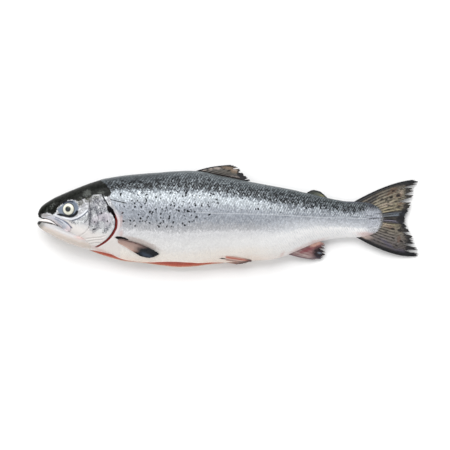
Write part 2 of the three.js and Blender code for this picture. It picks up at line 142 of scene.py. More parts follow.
@dataclass(frozen=True)
class Places:
    """Points of the drawing, and how they lie to its lines and outlines, in millimetres."""

    along: Array
    height: Array

    def from_line(self, line: Line) -> Array:
        """Distances from a line.

        Args:
            line: The corners between its straight pieces.
        Returns:
            The least distance to any piece.
        """
        best = np.full(self.along.shape, FAR)
        for (ax, ay), (bx, by) in zip(line, line[1:]):
            dx, dy = bx - ax, by - ay
            t = np.clip(((self.along - ax) * dx + (self.height - ay) * dy) / (dx * dx + dy * dy), 0, 1)
            best = np.minimum(best, np.hypot(self.along - ax - t * dx, self.height - ay - t * dy))
        return best

    def inside(self, outline: Line) -> Array:
        """Depths in a closed outline.

        Args:
            outline: Its corners.
        Returns:
            Distances from it, above 0 inside (an odd number of crossings) and below 0 outside.
        """
        closed = (*outline, outline[0])
        inside = np.zeros(self.along.shape, bool)
        for (ax, ay), (bx, by) in zip(closed, closed[1:]):
            if ay != by:
                crosses = (ay > self.height) != (by > self.height)
                inside ^= crosses & (self.along < (bx - ax) * (self.height - ay) / (by - ay) + ax)
        distance = self.from_line(closed)
        return np.where(inside, distance, -distance)

    def in_ovals(self, ovals: Sequence[Oval]) -> Array:
        """Depths in the nearest of some ovals.

        Args:
            ovals: The ovals.
        Returns:
            1 less the oval radius, times the half width, which is above 0 inside.
        """
        best = np.full(self.along.shape, -FAR)
        for x, y, long, wide, turn in ovals:
            c, s = math.cos(math.radians(turn)), math.sin(math.radians(turn))
            near = (np.abs(self.along - x) < 4 * long) & (np.abs(self.height - y) < 4 * long)
            dx, dy = self.along[near] - x, self.height[near] - y
            radius = np.hypot((dx * c + dy * s) / long, (dy * c - dx * s) / wide)
            best[near] = np.maximum(best[near], (1 - radius) * wide)
        return best

    def in_lines(self, lines: Sequence[Line], half_width: float) -> Array:
        """Depths in lines of one width: half the width less the distance."""
        return half_width - functools.reduce(np.minimum, [self.from_line(line) for line in lines])


# ------------------------------------------------------------------------------------------- form of the body


@dataclass(frozen=True)
class BodyForm:
    """The form of head and trunk: height fields over the fish's outline, the same as the solids'."""

    back: Profile = Profile((
        (1.2, 6.2), (3.2, 12.2), (7, 18.2), (12, 22.7), (20, 28.2), (36, 36.9), (56, 45.6), (91, 59.4),
        (120, 68.6), (158, 74.9), (221, 80.3), (270, 83.2), (290, 82.6), (329, 73.9), (383, 63.5), (455, 50),
        (502, 39.5), (554, 28.7), (580, 27.3), (594, 26), (606, 22.3), (615, 16.6), (621, 9), (624, -1.5)))
    belly: Profile = Profile((
        (1.2, 4.6), (3.2, -0.6), (7, -2.2), (19, -4.2), (28, -9), (36, -16.5), (55, -34), (77, -52.2),
        (92, -58.9), (120, -70.2), (158, -80.4), (185, -83), (221, -88.2), (257, -91.8), (284, -90.2),
        (311, -86), (342, -82), (383, -78.7), (420, -77), (440, -72), (455, -66.2), (482, -54.5),
        (502, -46.3), (527, -40.3), (560, -36.8), (580, -37.3), (594, -35), (606, -30.5), (615, -24),
        (621, -15), (624, -3.8)))
    half: Profile = Profile((
        (1.2, 0.8), (3.2, 6.2), (7, 9.5), (12, 12.4), (20, 15.6), (36, 20.6), (56, 25.6), (77, 29.7),
        (106, 33.8), (135, 36.3), (185, 38.5), (240, 39), (290, 38.2), (356, 35.3), (420, 30.6), (482, 24),
        (527, 18.2), (560, 14.2), (594, 9.6), (606, 7.7), (615, 5.8), (621, 3.8), (624, 0.8)))
    mid: Profile = Profile((
        (0, 26.6), (28, 28.2), (56, 29.8), (92, 31.6), (135, 33.2), (185, 34.3), (290, 34.2), (356, 32.6),
        (420, 29.2), (482, 23.4), (527, 19), (560, 16), (594, 13.2), (624, 11), (690, 5.2)))
    sag: Profile = Profile((
        (0, 0), (40, 0), (92, 7), (150, 13), (240, 15), (330, 13), (440, 8), (520, 4), (624, 0), (690, 0)))
    gill_edge: Profile = Profile((
        (-1, 92), (-0.9, 99), (-0.76, 110), (-0.62, 121), (-0.48, 130), (-0.34, 136.6), (-0.2, 141),
        (-0.08, 141.6), (0.08, 137.2), (0.22, 131), (0.4, 124), (0.57, 117.6), (0.8, 113), (1, 112)))
    gill_opening: Profile = Profile((
        (-0.99, 0), (-0.94, 0.12), (-0.8, 0.42), (-0.6, 0.66), (-0.4, 0.86), (-0.15, 1), (0.0, 0.9),
        (0.1, 0.55), (0.2, 0.2), (0.4, 0.12), (0.6, 0.07), (0.66, 0)))
    gill_station: float = 122.0
    bend_in_front: float = 92.0
    bend_behind: float = 118.0
    fullness: float = 0.2
    pinch: float = 0.24
    cut_start: float = 93.0
    cut_end: float = 336.0
    flap_drawn_back: Profile = Profile((
        (93, 0.2), (113, 4.4), (131, 5.2), (149, 2.6), (185, 2), (203, 4.2), (221, 7.4), (250, 11),
        (275, 9.2), (293, 6.2), (318, 3.4), (336, 0.2)))
    cavity_depth: Profile = Profile((
        (93, 1), (113, 20), (145, 34), (190, 42), (250, 46), (290, 40), (318, 24), (336, 1)))
    cavity_half: Profile = Profile((
        (93, 0.3), (113, 2), (145, 3.2), (250, 3.8), (290, 3.5), (318, 2.2), (336, 0.3)))
    table_softness: float = 1.2

    def share(self, along: Array, height: Array) -> Array:
        """A height as a share of the section there: 1 at the back, -1 at the belly edge."""
        back, belly = self.back(along), self.belly(along)
        return (2 * height - back - belly) / np.maximum(back - belly, 1e-6)

    def height(self, along: Array, share: Array) -> Array:
        """The height of a share of the section there."""
        return ((1 + share) * self.back(along) + (1 - share) * self.belly(along)) / 2

    def middle(self, along: Array, share: Array) -> Array:
        """Height of the mid surface above the table; it hangs down towards the belly edge."""
        return self.mid(along) - self.sag(along) * np.minimum(0, share) ** 2

    def half_thickness(self, along: Array, share: Array) -> Array:
        """Half the thickness: an oval section, fuller at the back, and drawn in at the emptied belly."""
        start, end = self.cut_start, self.cut_end
        emptied = plateau(along, (start - 10, start + 40), (end - 20, end + 40))
        drawn = 1 - self.pinch * emptied * smooth_step(-0.3, -1, share)
        oval = np.sqrt(np.clip(1 - share**2, 0, None))
        return self.half(along) * oval * (1 + self.fullness * share) * drawn

    def flank(self, along: Array, height: Array, side: int) -> Array:
        """Height above the table of the upper (side 1) or lower (side -1) flank."""
        share = np.clip(self.share(along, height), -0.999, 0.999)
        return self.middle(along, share) + side * self.half_thickness(along, share)

    def bent(self, station: Array, share: Array) -> Array:
        """Where a section's point lies along the body: near the gill cover, sections bend to its edge."""
        in_front = smooth_step(self.gill_station - self.bend_in_front, self.gill_station - 10, station)
        behind = smooth_step(self.gill_station + self.bend_behind, self.gill_station + 10, station)
        bend = np.where(station < self.gill_station, in_front, behind)
        return station + (self.gill_edge(share) - self.gill_station) * bend

    def cut_opening(self, along: Array) -> Array:
        """1 along the belly cut, fading to 0 at its two ends."""
        return plateau(along, (self.cut_start, self.cut_start + 12), (self.cut_end - 14, self.cut_end))

    def cavity_wall(self, along: Array, deep: Array) -> Array:
        """Half the height of the belly cavity, `deep` of the way from its mouth to its round bottom."""
        round_end = np.sqrt(np.clip(1 - deep**6, 0, None))
        return self.cavity_half(along) * (0.75 + 0.5 * np.sin(np.pi * deep)) * round_end

    def on_table(self, z: Array) -> Array:
        """Heights pressed flat on the table: half of z and of the root of z² plus the softness²."""
        return (z + np.sqrt(z * z + self.table_softness**2)) / 2


FORM = BodyForm()


# ----------------------------------------------------------------------------------------------------- sheets


@dataclass
class Sheet:
    """A surface as a grid of points in the drawing, with the values that its finish reads at each point."""

    points: Array
    outward: Array
    values: dict[str, Array] = field(default_factory=dict)
    lattice: Array | None = None
    ring: bool = False

    def _normals(self) -> tuple[Array, float]:
        """Unit normals (cross product of the two grid directions), and the sign that turns them outwards."""
        padded = self.points
        if self.ring:
            padded = np.concatenate([padded[:, -1:], padded, padded[:, :1]], axis=1)
        rows, columns = np.gradient(padded, axis=0), np.gradient(padded, axis=1)
        normal = np.cross(rows, columns)
        if self.ring:
            normal = normal[:, 1:-1]
        normal /= np.maximum(np.linalg.norm(normal, axis=2, keepdims=True), 1e-9)
        sign = 1.0 if float((normal * self.outward).sum()) >= 0 else -1.0
        return normal, sign

    def raise_by(self, amount: Array) -> Sheet:
        """Moves each point outwards along its normal by an amount in millimetres, and returns the sheet."""
        normal, sign = self._normals()
        self.points = self.points + normal * (sign * amount)[..., None]
        return self

    def grow(self, before: Array, after: Array, axis: int = 0) -> Sheet:
        """Adds points at two opposite edges, with the edges' own values under them.

        Args:
            before: Rows or columns of points before the first; it may have none.
            after: The same behind the last.
            axis: 0 to add rows, 1 to add columns.
        Returns:
            The sheet.
        """
        added = (before.shape[axis], after.shape[axis])

        def spread(values: Array) -> Array:
            """Repeats the first and the last row or column."""
            return np.pad(values, [added if k == axis else (0, 0) for k in range(values.ndim)], mode="edge")

        self.points = np.concatenate([before, self.points, after], axis=axis)
        self.outward = spread(self.outward)
        self.lattice = None if self.lattice is None else spread(self.lattice)
        self.values = {name: spread(value) for name, value in self.values.items()}
        return self

    def build(self, name: str, material: bpy.types.Material, slot: str) -> bpy.types.Object:
        """Makes the mesh: quads between neighbours, seams and poles welded, one map for the whole grid.

        Args:
            name: The piece's name.
            material: Its finish.
            slot: Not used.
        Returns:
            The object, riding on the fish's body.
        """
        _, sign = self._normals()
        rows, columns, _ = self.points.shape
        across = columns if self.ring else columns - 1
        i, j = np.meshgrid(np.arange(rows - 1), np.arange(across), indexing="ij")
        i, j = i.ravel(), j.ravel()
        corner_i = np.stack([i, i + 1, i + 1, i], axis=1)
        corner_j = np.stack([j, j, j + 1, j + 1], axis=1)
        if sign < 0:
            corner_i, corner_j = corner_i[:, ::-1], corner_j[:, ::-1]
        faces = corner_i * columns + corner_j % columns
        place = self.points.reshape(-1, 3) - (ORIGIN_ALONG, ORIGIN_HEIGHT, 0.0)
        mesh = bpy.data.meshes.new(name)
        mesh.vertices.add(rows * columns)
        mesh.vertices.foreach_set("co", (place * MM).astype(np.float32).ravel())
        mesh.loops.add(faces.size)
        mesh.loops.foreach_set("vertex_index", faces.astype(np.int32).ravel())
        mesh.polygons.add(len(faces))
        mesh.polygons.foreach_set("loop_start", np.arange(0, faces.size, 4, dtype=np.int32))
        mesh.polygons.foreach_set("use_smooth", np.ones(len(faces), bool))
        mesh.update(calc_edges=True)
        grid_map = np.stack([corner_i / (rows - 1), corner_j / across], axis=2)
        self._add_map(mesh, "OFBake", grid_map.reshape(-1, 2))
        if self.lattice is not None:
            self._add_map(mesh, "ScaleMap", self.lattice.reshape(-1, 2)[faces.ravel()])
        for value_name, value in self.values.items():
            attribute = mesh.attributes.new(value_name, "FLOAT", "POINT")
            spread = np.broadcast_to(value, (rows, columns)).astype(np.float32)
            attribute.data.foreach_set("value", spread.ravel())
        self._weld(mesh)
        mesh.materials.append(material)
        piece = bpy.data.objects.new(name, mesh)
        bpy.context.scene.collection.objects.link(piece)
        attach(piece, "root")
        log.info("%s: %d triangles", name, sum(len(p.vertices) - 2 for p in mesh.polygons))
        return piece

    @staticmethod
    def _add_map(mesh: bpy.types.Mesh, name: str, corners: Array) -> None:
        """Adds a UV map with one pair of numbers for each corner of each face."""
        mesh.uv_layers.new(name=name).data.foreach_set("uv", corners.astype(np.float32).ravel())

    @staticmethod
    def _weld(mesh: bpy.types.Mesh) -> None:
        """Joins points that lie in one place, which closes seams and poles."""
        working = bmesh.new()
        working.from_mesh(mesh)
        bmesh.ops.remove_doubles(working, verts=working.verts, dist=4e-6)
        working.to_mesh(mesh)
        working.free()


# ------------------------------------------------------------------------------------------------ node wiring


@dataclass(frozen=True)
class Value:
    """A socket to reckon with: each sum, difference or product adds a math node."""

    wiring: Wiring
    socket: bpy.types.NodeSocket

    def __add__(self, other: Term) -> Value:
        """The sum."""
        return self.wiring.math("ADD", self, other)

    def __sub__(self, other: Term) -> Value:
        """The difference."""
        return self.wiring.math("SUBTRACT", self, other)

    def __rsub__(self, other: Term) -> Value:
        """The difference from a number."""
        return self.wiring.math("SUBTRACT", other, self)

    def __mul__(self, other: Term) -> Value:
        """The product."""
        return self.wiring.math("MULTIPLY", self, other)


Term = Value | float
Values = dict[str, Value]


@dataclass(frozen=True)
class Wiring:
    """Adds nodes to a shader tree and joins them, one call to a node."""

    tree: bpy.types.NodeTree

    def node(self, kind: str, inputs: dict | None = None, **settings: object) -> bpy.types.Node:
        """Adds a node.

        Args:
            kind: The node's type name after "ShaderNode".
            inputs: Sockets by name or place, each given a value to join or to hold.
            settings: The node's own properties.
        Returns:
            The node.
        """
        made = self.tree.nodes.new(f"ShaderNode{kind}")
        for name, value in settings.items():
            setattr(made, name, value)
        for socket, value in (inputs or {}).items():
            self.feed(made.inputs[socket], value)
        return made

    def read(self, kind: str, inputs: dict | None = None, output: int | str = 0, **settings: object) -> Value:
        """Adds a node and takes one of its outputs."""
        return Value(self, self.node(kind, inputs, **settings).outputs[output])

    def feed(self, socket: bpy.types.NodeSocket, value: object) -> None:
        """Joins a socket to a value's own, or sets it."""
        if isinstance(value, Value):
            self.tree.links.new(value.socket, socket)
        else:
            socket.default_value = value

    def math(self, operation: str, *values: Term, clamp: bool = False) -> Value:
        """A named operation on one or two values."""
        return self.read("Math", dict(enumerate(values)), operation=operation, use_clamp=clamp)

    def highest(self, first: Term, second: Term) -> Value:
        """The higher of two values."""
        return self.math("MAXIMUM", first, second)

    def vector(self, operation: str, first: object, second: object) -> Value:
        """A named operation on two vectors or colours; a number stands for three equal parts."""
        return self.read("VectorMath", {0: first, 1: second}, operation=operation)

    def mix(self, share: Term, first: Value | Shade, second: Value | Shade) -> Value:
        """The first colour with a share of the second laid over it."""
        under, over = (paint(*colour) if isinstance(colour, tuple) else colour for colour in (first, second))
        return self.read("Mix", {0: share, 6: under, 7: over}, 2, data_type="RGBA")

    def span(self, value: Term, low: Term, high: Term, to_low: float = 0.0, to_high: float = 1.0) -> Value:
        """A value stepped softly from one range to another."""
        inputs = dict(enumerate((value, low, high, to_low, to_high)))
        return self.read("MapRange", inputs, interpolation_type="SMOOTHSTEP")

    def _ramp(self, value: Term, stops: Sequence[tuple[float, Colour]]) -> Value:
        """A colour read from a ramp with eased steps.

        Args:
            value: What it is read at.
            stops: Places and linear colours.
        Returns:
            The colour.
        """
        made = self.node("ValToRGB", {0: value})
        made.color_ramp.interpolation = "EASE"
        elements = made.color_ramp.elements
        elements.remove(elements[1])
        elements[0].position, elements[0].color = stops[0]
        for position, colour in stops[1:]:
            elements.new(position).color = colour
        return Value(self, made.outputs[0])

    def ramp(self, value: Term, stops: Stops) -> Value:
        """A colour read from a ramp of display colours."""
        return self._ramp(value, [(at, paint(*shade)) for at, *shade in stops])

    def curve(self, value: Term, stops: Line) -> Value:
        """A number read from a ramp of numbers."""
        return self._ramp(value, [(at, (level, level, level, 1.0)) for at, level in stops])

    def value(self, name: str) -> Value:
        """A number that the mesh carries at each point."""
        return self.read("Attribute", output="Fac", attribute_name=name)

    def noise(self, scale: Term, detail: float = 2.0, roughness: float = 0.5, distortion: float = 0.0,
              vector: Value | None = None) -> Value:
        """Cloudy noise from 0 to 1, over the place on the piece or another vector."""
        inputs = {"Vector": vector or self.place(), "Scale": scale, "Detail": detail, "Roughness": roughness,
                  "Distortion": distortion}
        return self.read("TexNoise", inputs)

    def place(self) -> Value:
        """The place on the piece, in metres."""
        return self.read("TexCoord", output="Object")

    def group(self, tree: bpy.types.NodeTree, **inputs: object) -> Values:
        """Places a node group.

        Args:
            tree: The group.
            inputs: What its inputs take, by name.
        Returns:
            Its outputs by name.
        """
        made = self.node("Group", node_tree=tree)
        for name, value in inputs.items():
            self.feed(made.inputs[name], value)
        return {output.name: Value(self, output) for output in made.outputs}
def new_group(name: str, inputs: dict[str, str],
              wire: Callable[[Wiring, Values], Values]) -> bpy.types.NodeTree:
    """Makes a shader node group.

    Args:
        name: The group's name.
        inputs: Kind ("Float" or "Vector") of each input by name.
        wire: Adds the group's nodes, and gives its outputs by name from its inputs by name.
    Returns:
        The group.
    """
    tree = bpy.data.node_groups.new(name, "ShaderNodeTree")
    for socket, kind in inputs.items():
        tree.interface.new_socket(name=socket, in_out="INPUT", socket_type=f"NodeSocket{kind}")
    w = Wiring(tree)
    made = wire(w, {output.name: Value(w, output) for output in tree.nodes.new("NodeGroupInput").outputs})
    for socket, value in made.items():
        kind = "Vector" if value.socket.type == "VECTOR" else "Float"
        tree.interface.new_socket(name=socket, in_out="OUTPUT", socket_type=f"NodeSocket{kind}")
    out = tree.nodes.new("NodeGroupOutput")
    for socket, value in made.items():
        w.feed(out.inputs[socket], value)
    return tree


@functools.cache
def scale_group() -> bpy.types.NodeTree:
    """Overlapping scales on a diamond lattice: each rises towards its rear edge and drops to the next.

    Returns:
        The group: Lattice and Jitter in; Height, Edge, Tint, Second (another tint), Cell, and Lean and Cross
        (light strokes along two slants, where the distance to the next whole number is small) out.
    """
    def wire(w: Wiring, given: Values) -> Values:
        """Scales from a cell pattern turned by 45 degrees, and strokes from two slanting sets of lines."""
        flat = w.node("SeparateXYZ", {0: given["Lattice"]}).outputs
        x, y = Value(w, flat[0]), Value(w, flat[1])
        plus, minus = x + y, x - y
        diamond = w.read("CombineXYZ", {0: plus, 1: minus})
        common = {"Vector": diamond, "Scale": 1.0, "Randomness": given["Jitter"]}
        cell = w.node("TexVoronoi", common, voronoi_dimensions="2D", feature="F1").outputs
        from_rim = w.read(
            "TexVoronoi", common, "Distance", voronoi_dimensions="2D", feature="DISTANCE_TO_EDGE")
        position = Value(w, cell["Position"])
        middle = w.node("SeparateXYZ", {0: position}).outputs
        rearward = (plus + minus) - (Value(w, middle[0]) + Value(w, middle[1]))
        tints = w.node("SeparateColor", {0: Value(w, cell["Color"])}).outputs
        wander = w.noise(0.35, vector=given["Lattice"]) * 1.4
        made = {
            "Height": w.span(rearward, -1.0, 0.95) * w.span(from_rim, 0.0, 0.13, 0.35, 1.0),
            "Edge": w.span(from_rim, 0.2, 0.05) * w.span(rearward, -0.25, 0.3, 0.35, 1.0),
            "Tint": Value(w, tints[0]), "Second": Value(w, tints[1]), "Cell": position}
        for name, slant in (("Lean", -0.5), ("Cross", 0.55)):
            line = (x + y * slant) * 0.84 + wander
            drawn_out = w.read("CombineXYZ", {0: y * 0.45, 1: line})
            stroke = w.span(w.noise(1.0, 2.0, 0.6, vector=drawn_out), 0.42, 0.54)
            made[name] = w.span(w.math("PINGPONG", line, 0.5), 0.27, 0.1) * stroke
        return made

    return new_group("Scales", {"Lattice": "Vector", "Jitter": "Float"}, wire)


@functools.cache
def marking_group() -> bpy.types.NodeTree:
    """A marking with a soft, ragged edge, from how deep a point lies in it, broken up by a finer cloud.

    Returns:
        The group: Depth in millimetres, Softness, Raggedness, Grain and Mottle in; Mask out.
    """
    def wire(w: Wiring, given: Values) -> Values:
        """A step of the depth, which a cloud shifts, less a share of a finer cloud."""
        depth = given["Depth"] + (w.noise(given["Grain"], 3.0, 0.6) - 0.5) * given["Raggedness"]
        fine = w.span(w.noise(given["Grain"] * 1.7, 4.0, 0.7), 0.42, 0.6)
        mask = w.span(depth, given["Softness"] * -1.0, given["Softness"])
        return {"Mask": mask * (1 - fine * given["Mottle"])}

    names = ("Depth", "Softness", "Raggedness", "Grain", "Mottle")
    return new_group("Marking", dict.fromkeys(names, "Float"), wire)


@functools.cache
def wet_group() -> bpy.types.NodeTree:
    """The wet film over skin and flesh: slow swells in it, and where it has drawn off.

    Returns:
        The group: Roughness and Grain in; Roughness and Height out.
    """
    def wire(w: Wiring, given: Values) -> Values:
        """Two clouds, of which the slow one moves the roughness."""
        slow = w.noise(given["Grain"], 3.0)
        drawn_off = w.span(slow, 0.35, 0.7, -0.06, 0.12)
        return {"Roughness": w.math("ADD", given["Roughness"], drawn_off, clamp=True),
                "Height": slow * 0.8 + w.noise(900.0, 2.0) * 0.12}

    return new_group("Wet Film", {"Roughness": "Float", "Grain": "Float"}, wire)


@functools.cache
def fleck_group() -> bpy.types.NodeTree:
    """Streaky mottling, drawn out along one axis, and thin veins where the cloud crosses its middle.

    Returns:
        The group: Stretch and Grain in; Fleck and Vein out, from 0 to 1.
    """
    def wire(w: Wiring, given: Values) -> Values:
        """One cloud over the stretched place."""
        cloud = w.noise(given["Grain"], 4.0, 0.62, 0.4, w.vector("MULTIPLY", w.place(), given["Stretch"]))
        off_middle = w.math("ABSOLUTE", cloud - 0.5)
        return {"Fleck": w.span(cloud, 0.33, 0.67), "Vein": w.span(off_middle, 0.035, 0.005)}

    return new_group("Flecks", {"Stretch": "Vector", "Grain": "Float"}, wire)


# --------------------------------------------------------------------------------------------------- finishes


@dataclass(frozen=True)
class Marking:
    """One marking laid over a finish, where the mesh's value of that name is above 0."""

    value: str
    colour: Shade
    strength: float = 1.0
    softness: float = 0.8
    raggedness: float = 2.0
    grain: float = 260.0
    mottle: float = 0.0
    offset: float = 0.0

    def mask(self, w: Wiring) -> Value:
        """Where the marking lies, in a material's wiring."""
        return w.group(marking_group(), Depth=w.value(self.value) + self.offset, Softness=self.softness,
                       Raggedness=self.raggedness, Grain=self.grain, Mottle=self.mottle)["Mask"]


@dataclass(frozen=True)
class Finish:
    """What every finish of the fish shares: a wet clear film over a surface of its own."""

    name: str
    roughness: float = 0.36
    metallic: float = 0.0
    coat: float = 0.25
    coat_roughness: float = 0.14
    specular: float = 0.32
    subsurface: float = 0.0
    relief: float = 0.35  # millimetres between the low and the high of the fine relief

    def colour(self, w: Wiring) -> tuple[Value, Value | None]:
        """The finish's own part.

        Args:
            w: The material's wiring.
        Returns:
            The colour, and the height of the fine relief or None.
        """
        raise NotImplementedError

    def material(self) -> bpy.types.Material:
        """Builds the material: colour and relief of its own, under the wet film.

        Returns:
            The material.
        """
        made = bpy.data.materials.new(self.name)
        made.use_nodes = True
        made.node_tree.nodes.clear()
        w = Wiring(made.node_tree)
        colour, fine = self.colour(w)
        film = w.group(wet_group(), Roughness=self.roughness, Grain=70.0)
        swell = film["Height"] * 0.5
        height = swell if fine is None else swell + fine
        inputs = {
            "Base Color": colour, "Roughness": film["Roughness"], "Metallic": self.metallic,
            "Specular IOR Level": self.specular, "Coat Weight": self.coat,
            "Coat Roughness": self.coat_roughness,
            "Normal": w.read("Bump", {"Strength": 0.8, "Distance": self.relief * MM, "Height": height})}
        if self.subsurface:
            inputs |= {"Subsurface Weight": self.subsurface, "Subsurface Scale": 0.004,
                       "Subsurface Radius": (1.0, 0.45, 0.3)}
        w.node("OutputMaterial", {"Surface": w.read("BsdfPrincipled", inputs)})
        return made

    @staticmethod
    def lay(w: Wiring, colour: Value, markings: Sequence[Marking]) -> Value:
        """Lays markings over a colour, in order.

        Args:
            w: The material's wiring.
            colour: The colour beneath.
            markings: The markings.
        Returns:
            The colour with its markings.
        """
        for marking in markings:
            colour = w.mix(marking.mask(w) * marking.strength, colour, marking.colour)
        return colour


@dataclass(frozen=True)
class SkinFinish(Finish):
    """Salmon skin: dark scaled back, silver band that is partly a painted highlight, grey flank and white
    belly, and the bare, marked head.
    """

    # Tones from back to belly. In both ramps the lighter first stop is a painted highlight along the back's
    # outline, and the silver band is partly a painted highlight over real silver.
    bands: Stops = (
        (0.00, 90, 96, 99), (0.04, 56, 61, 65), (0.15, 34, 39, 43), (0.185, 46, 52, 57),
        (0.215, 116, 124, 130), (0.25, 188, 195, 200), (0.30, 184, 191, 196), (0.38, 156, 161, 169),
        (0.50, 140, 145, 153), (0.59, 166, 167, 171), (0.65, 211, 211, 213), (0.78, 234, 233, 232),
        (0.90, 242, 235, 227), (1.00, 242, 224, 210))
    tailward: Stops = (
        (0.00, 74, 80, 82), (0.035, 58, 64, 66), (0.07, 42, 47, 50), (0.14, 52, 57, 62), (0.175, 72, 77, 83),
        (0.21, 118, 123, 129), (0.27, 150, 155, 161), (0.36, 145, 150, 157), (0.5, 174, 178, 185),
        (0.62, 200, 203, 208), (0.72, 244, 244, 244))
    edges: Stops = (
        (0.0, 160, 166, 170), (0.2, 190, 197, 202), (0.3, 130, 137, 144), (0.45, 98, 103, 112),
        (0.62, 112, 116, 124), (0.72, 188, 191, 195))
    strokes: Stops = (
        (0.0, 120, 127, 130), (0.14, 136, 143, 148), (0.2, 190, 197, 202), (0.3, 218, 224, 229),
        (0.45, 186, 190, 197), (0.7, 240, 241, 242))
    whitest: Shade = (244, 242, 242)
    darkest: Shade = (12, 14, 16)
    pale_stroke: Shade = (190, 193, 199)
    between_strokes: Shade = (122, 128, 137)
    head_light: Shade = (222, 225, 226)
    head_dark: Shade = (112, 115, 120)
    head_vein: Shade = (84, 86, 92)
    head_lilac: Shade = (176, 170, 178)
    # By tone: how far a scale may shift, dark scales in clusters, edges, and how much the strokes show.
    shift: Line = (
        (0.0, 0.02), (0.08, 0.06), (0.16, 0.09), (0.25, 0.07), (0.42, 0.12), (0.6, 0.045), (0.75, 0.03),
        (1.0, 0.02))
    dark_back: Line = ((0.04, 0.1), (0.08, 0.85), (0.15, 1.0), (0.2, 0.8), (0.24, 0.0))
    dark_rear: Line = ((0.01, 0.0), (0.045, 0.8), (0.2, 0.8), (0.25, 0.3), (0.32, 0.0))
    dark_flank: Line = ((0.2, 0.0), (0.26, 0.8), (0.34, 0.7), (0.4, 0.0))
    edge_strength: Line = (
        (0.0, 0.1), (0.06, 0.2), (0.1, 0.35), (0.2, 0.45), (0.24, 0.4), (0.3, 0.55), (0.5, 0.5), (0.66, 0.35),
        (0.9, 0.2))
    lean_strength: Line = (
        (0.03, 0.0), (0.07, 0.85), (0.16, 0.9), (0.22, 0.8), (0.28, 0.75), (0.36, 0.6), (0.48, 0.3),
        (0.66, 0.15))
    gap_strength: Line = ((0.17, 0.0), (0.21, 0.34), (0.4, 0.3), (0.5, 0.0))
    cross_strength: Line = ((0.1, 0.1), (0.18, 0.6))
    pale_cross_strength: Line = ((0.5, 0.0), (0.6, 0.6), (0.85, 0.45), (1.0, 0.0))
    plate_busy: Line = ((0.3, 0.9), (0.58, 0.72), (0.7, 0.16))
    spots: Marking = Marking("spots", (20, 22, 27), 1.0, 0.45, 1.0, 600.0)
    lateral: Marking = Marking("lateral", (214, 218, 223), 0.45, 0.5, 0.8, 500.0)
    root: Marking = Marking("tail_root", (188, 192, 202), 0.55, 9.0, 16.0, 240.0)
    scaled: Marking = Marking("scaled", (0, 0, 0), 1.0, 0.9, 1.5, 300.0)
    markings: tuple[Marking, ...] = (
        Marking("tail_skin", (92, 88, 82), 0.9, 2.0, 17.0, 320.0, 0.5),
        Marking("tail_streak", (30, 33, 40), 0.85, 1.0, 3.0, 400.0, 0.4),
        Marking("shoulder", (194, 190, 194), 0.65, 3.0, 6.0, 300.0, 0.4),
        Marking("shoulder", (218, 206, 208), 0.9, 1.0, 2.0, 260.0, 0.0, -4.4),
        Marking("cream", (230, 224, 220), 0.85, 5.0, 8.0),
        Marking("lilac", (182, 173, 183), 0.5, 3.0, 8.0),
        Marking("cloud", (70, 72, 82), 0.9, 2.4, 9.0, 340.0, 0.75),
        # Tan above the pectoral fin: partly blush, partly painted shade along the fin.
        Marking("tan", (170, 150, 140), 0.6, 2.5, 5.0),
        Marking("blush", (196, 150, 140), 0.5, 3.2, 6.0, 180.0),
        Marking("crown", (5, 6, 5), 1.0, 1.0, 8.0, 300.0),
        Marking("crown", (116, 122, 110), 0.05, 1.2, 6.0, 150.0, 1.0),
        # Grey patches on the crown, the largest a painted highlight.
        Marking("crown_grey", (104, 108, 104), 0.6, 2.4, 11.0, 280.0, 0.6),
        Marking("olive", (62, 62, 50), 0.9, 3.0, 10.0, 300.0, 0.6),
        Marking("muzzle", (160, 154, 154), 0.85, 1.2, 3.0, 300.0, 0.3),
        Marking("socket", (118, 128, 142), 1.0, 1.0, 1.4),
        Marking("lid", (34, 38, 52), 0.9, 0.8, 1.2, 420.0),
        Marking("under_eye", (28, 31, 35), 1.0, 1.0, 1.2),
        Marking("bright", (226, 229, 235), 0.95, 0.9, 2.0, 420.0),
        Marking("blue", (70, 78, 98), 0.85, 0.7, 1.2, 420.0),
        Marking("folds", (140, 137, 130), 0.65, 0.8, 1.6, 420.0, 0.4),
        Marking("seams", (42, 43, 50), 0.85, 0.7, 2.4, 420.0, 0.4),
        Marking("ink", (12, 12, 14), 1.0, 0.5, 1.4, 500.0),
        Marking("gill_red", (130, 54, 51), 1.0, 0.6, 0.6),
        Marking("gill_shade", (60, 28, 30), 0.85, 0.9, 0.8),
        # Black patch on the gill cover's rear margin, and painted shade along the gill slit.
        Marking("gill_black", (8, 6, 7), 1.0, 0.7, 1.5))

    def colour(self, w: Wiring) -> tuple[Value, Value | None]:
        """The scaled skin and the bare head under the markings; the relief is that of the scales."""
        scales = w.group(scale_group(), Lattice=w.read("UVMap", uv_map="ScaleMap"), Jitter=0.32)
        tone = w.value("tone")
        scaled = self.scaled.mask(w)
        colour = w.mix(scaled, self._head(w, tone), self._scaled(w, tone, scales))
        return self.lay(w, colour, (self.spots, self.lateral, *self.markings)), scales["Height"] * scaled

    def _scaled(self, w: Wiring, tone: Value, scales: Values) -> Value:
        """Bands of tone shifted scale by scale, dark scales in clusters, scale edges, and light strokes.

        Args:
            w: The material's wiring.
            tone: The band coordinate.
            scales: The scale group's outputs.
        Returns:
            The colour.
        """
        plain, hatched = 1 - w.value("silver"), w.value("hatched")
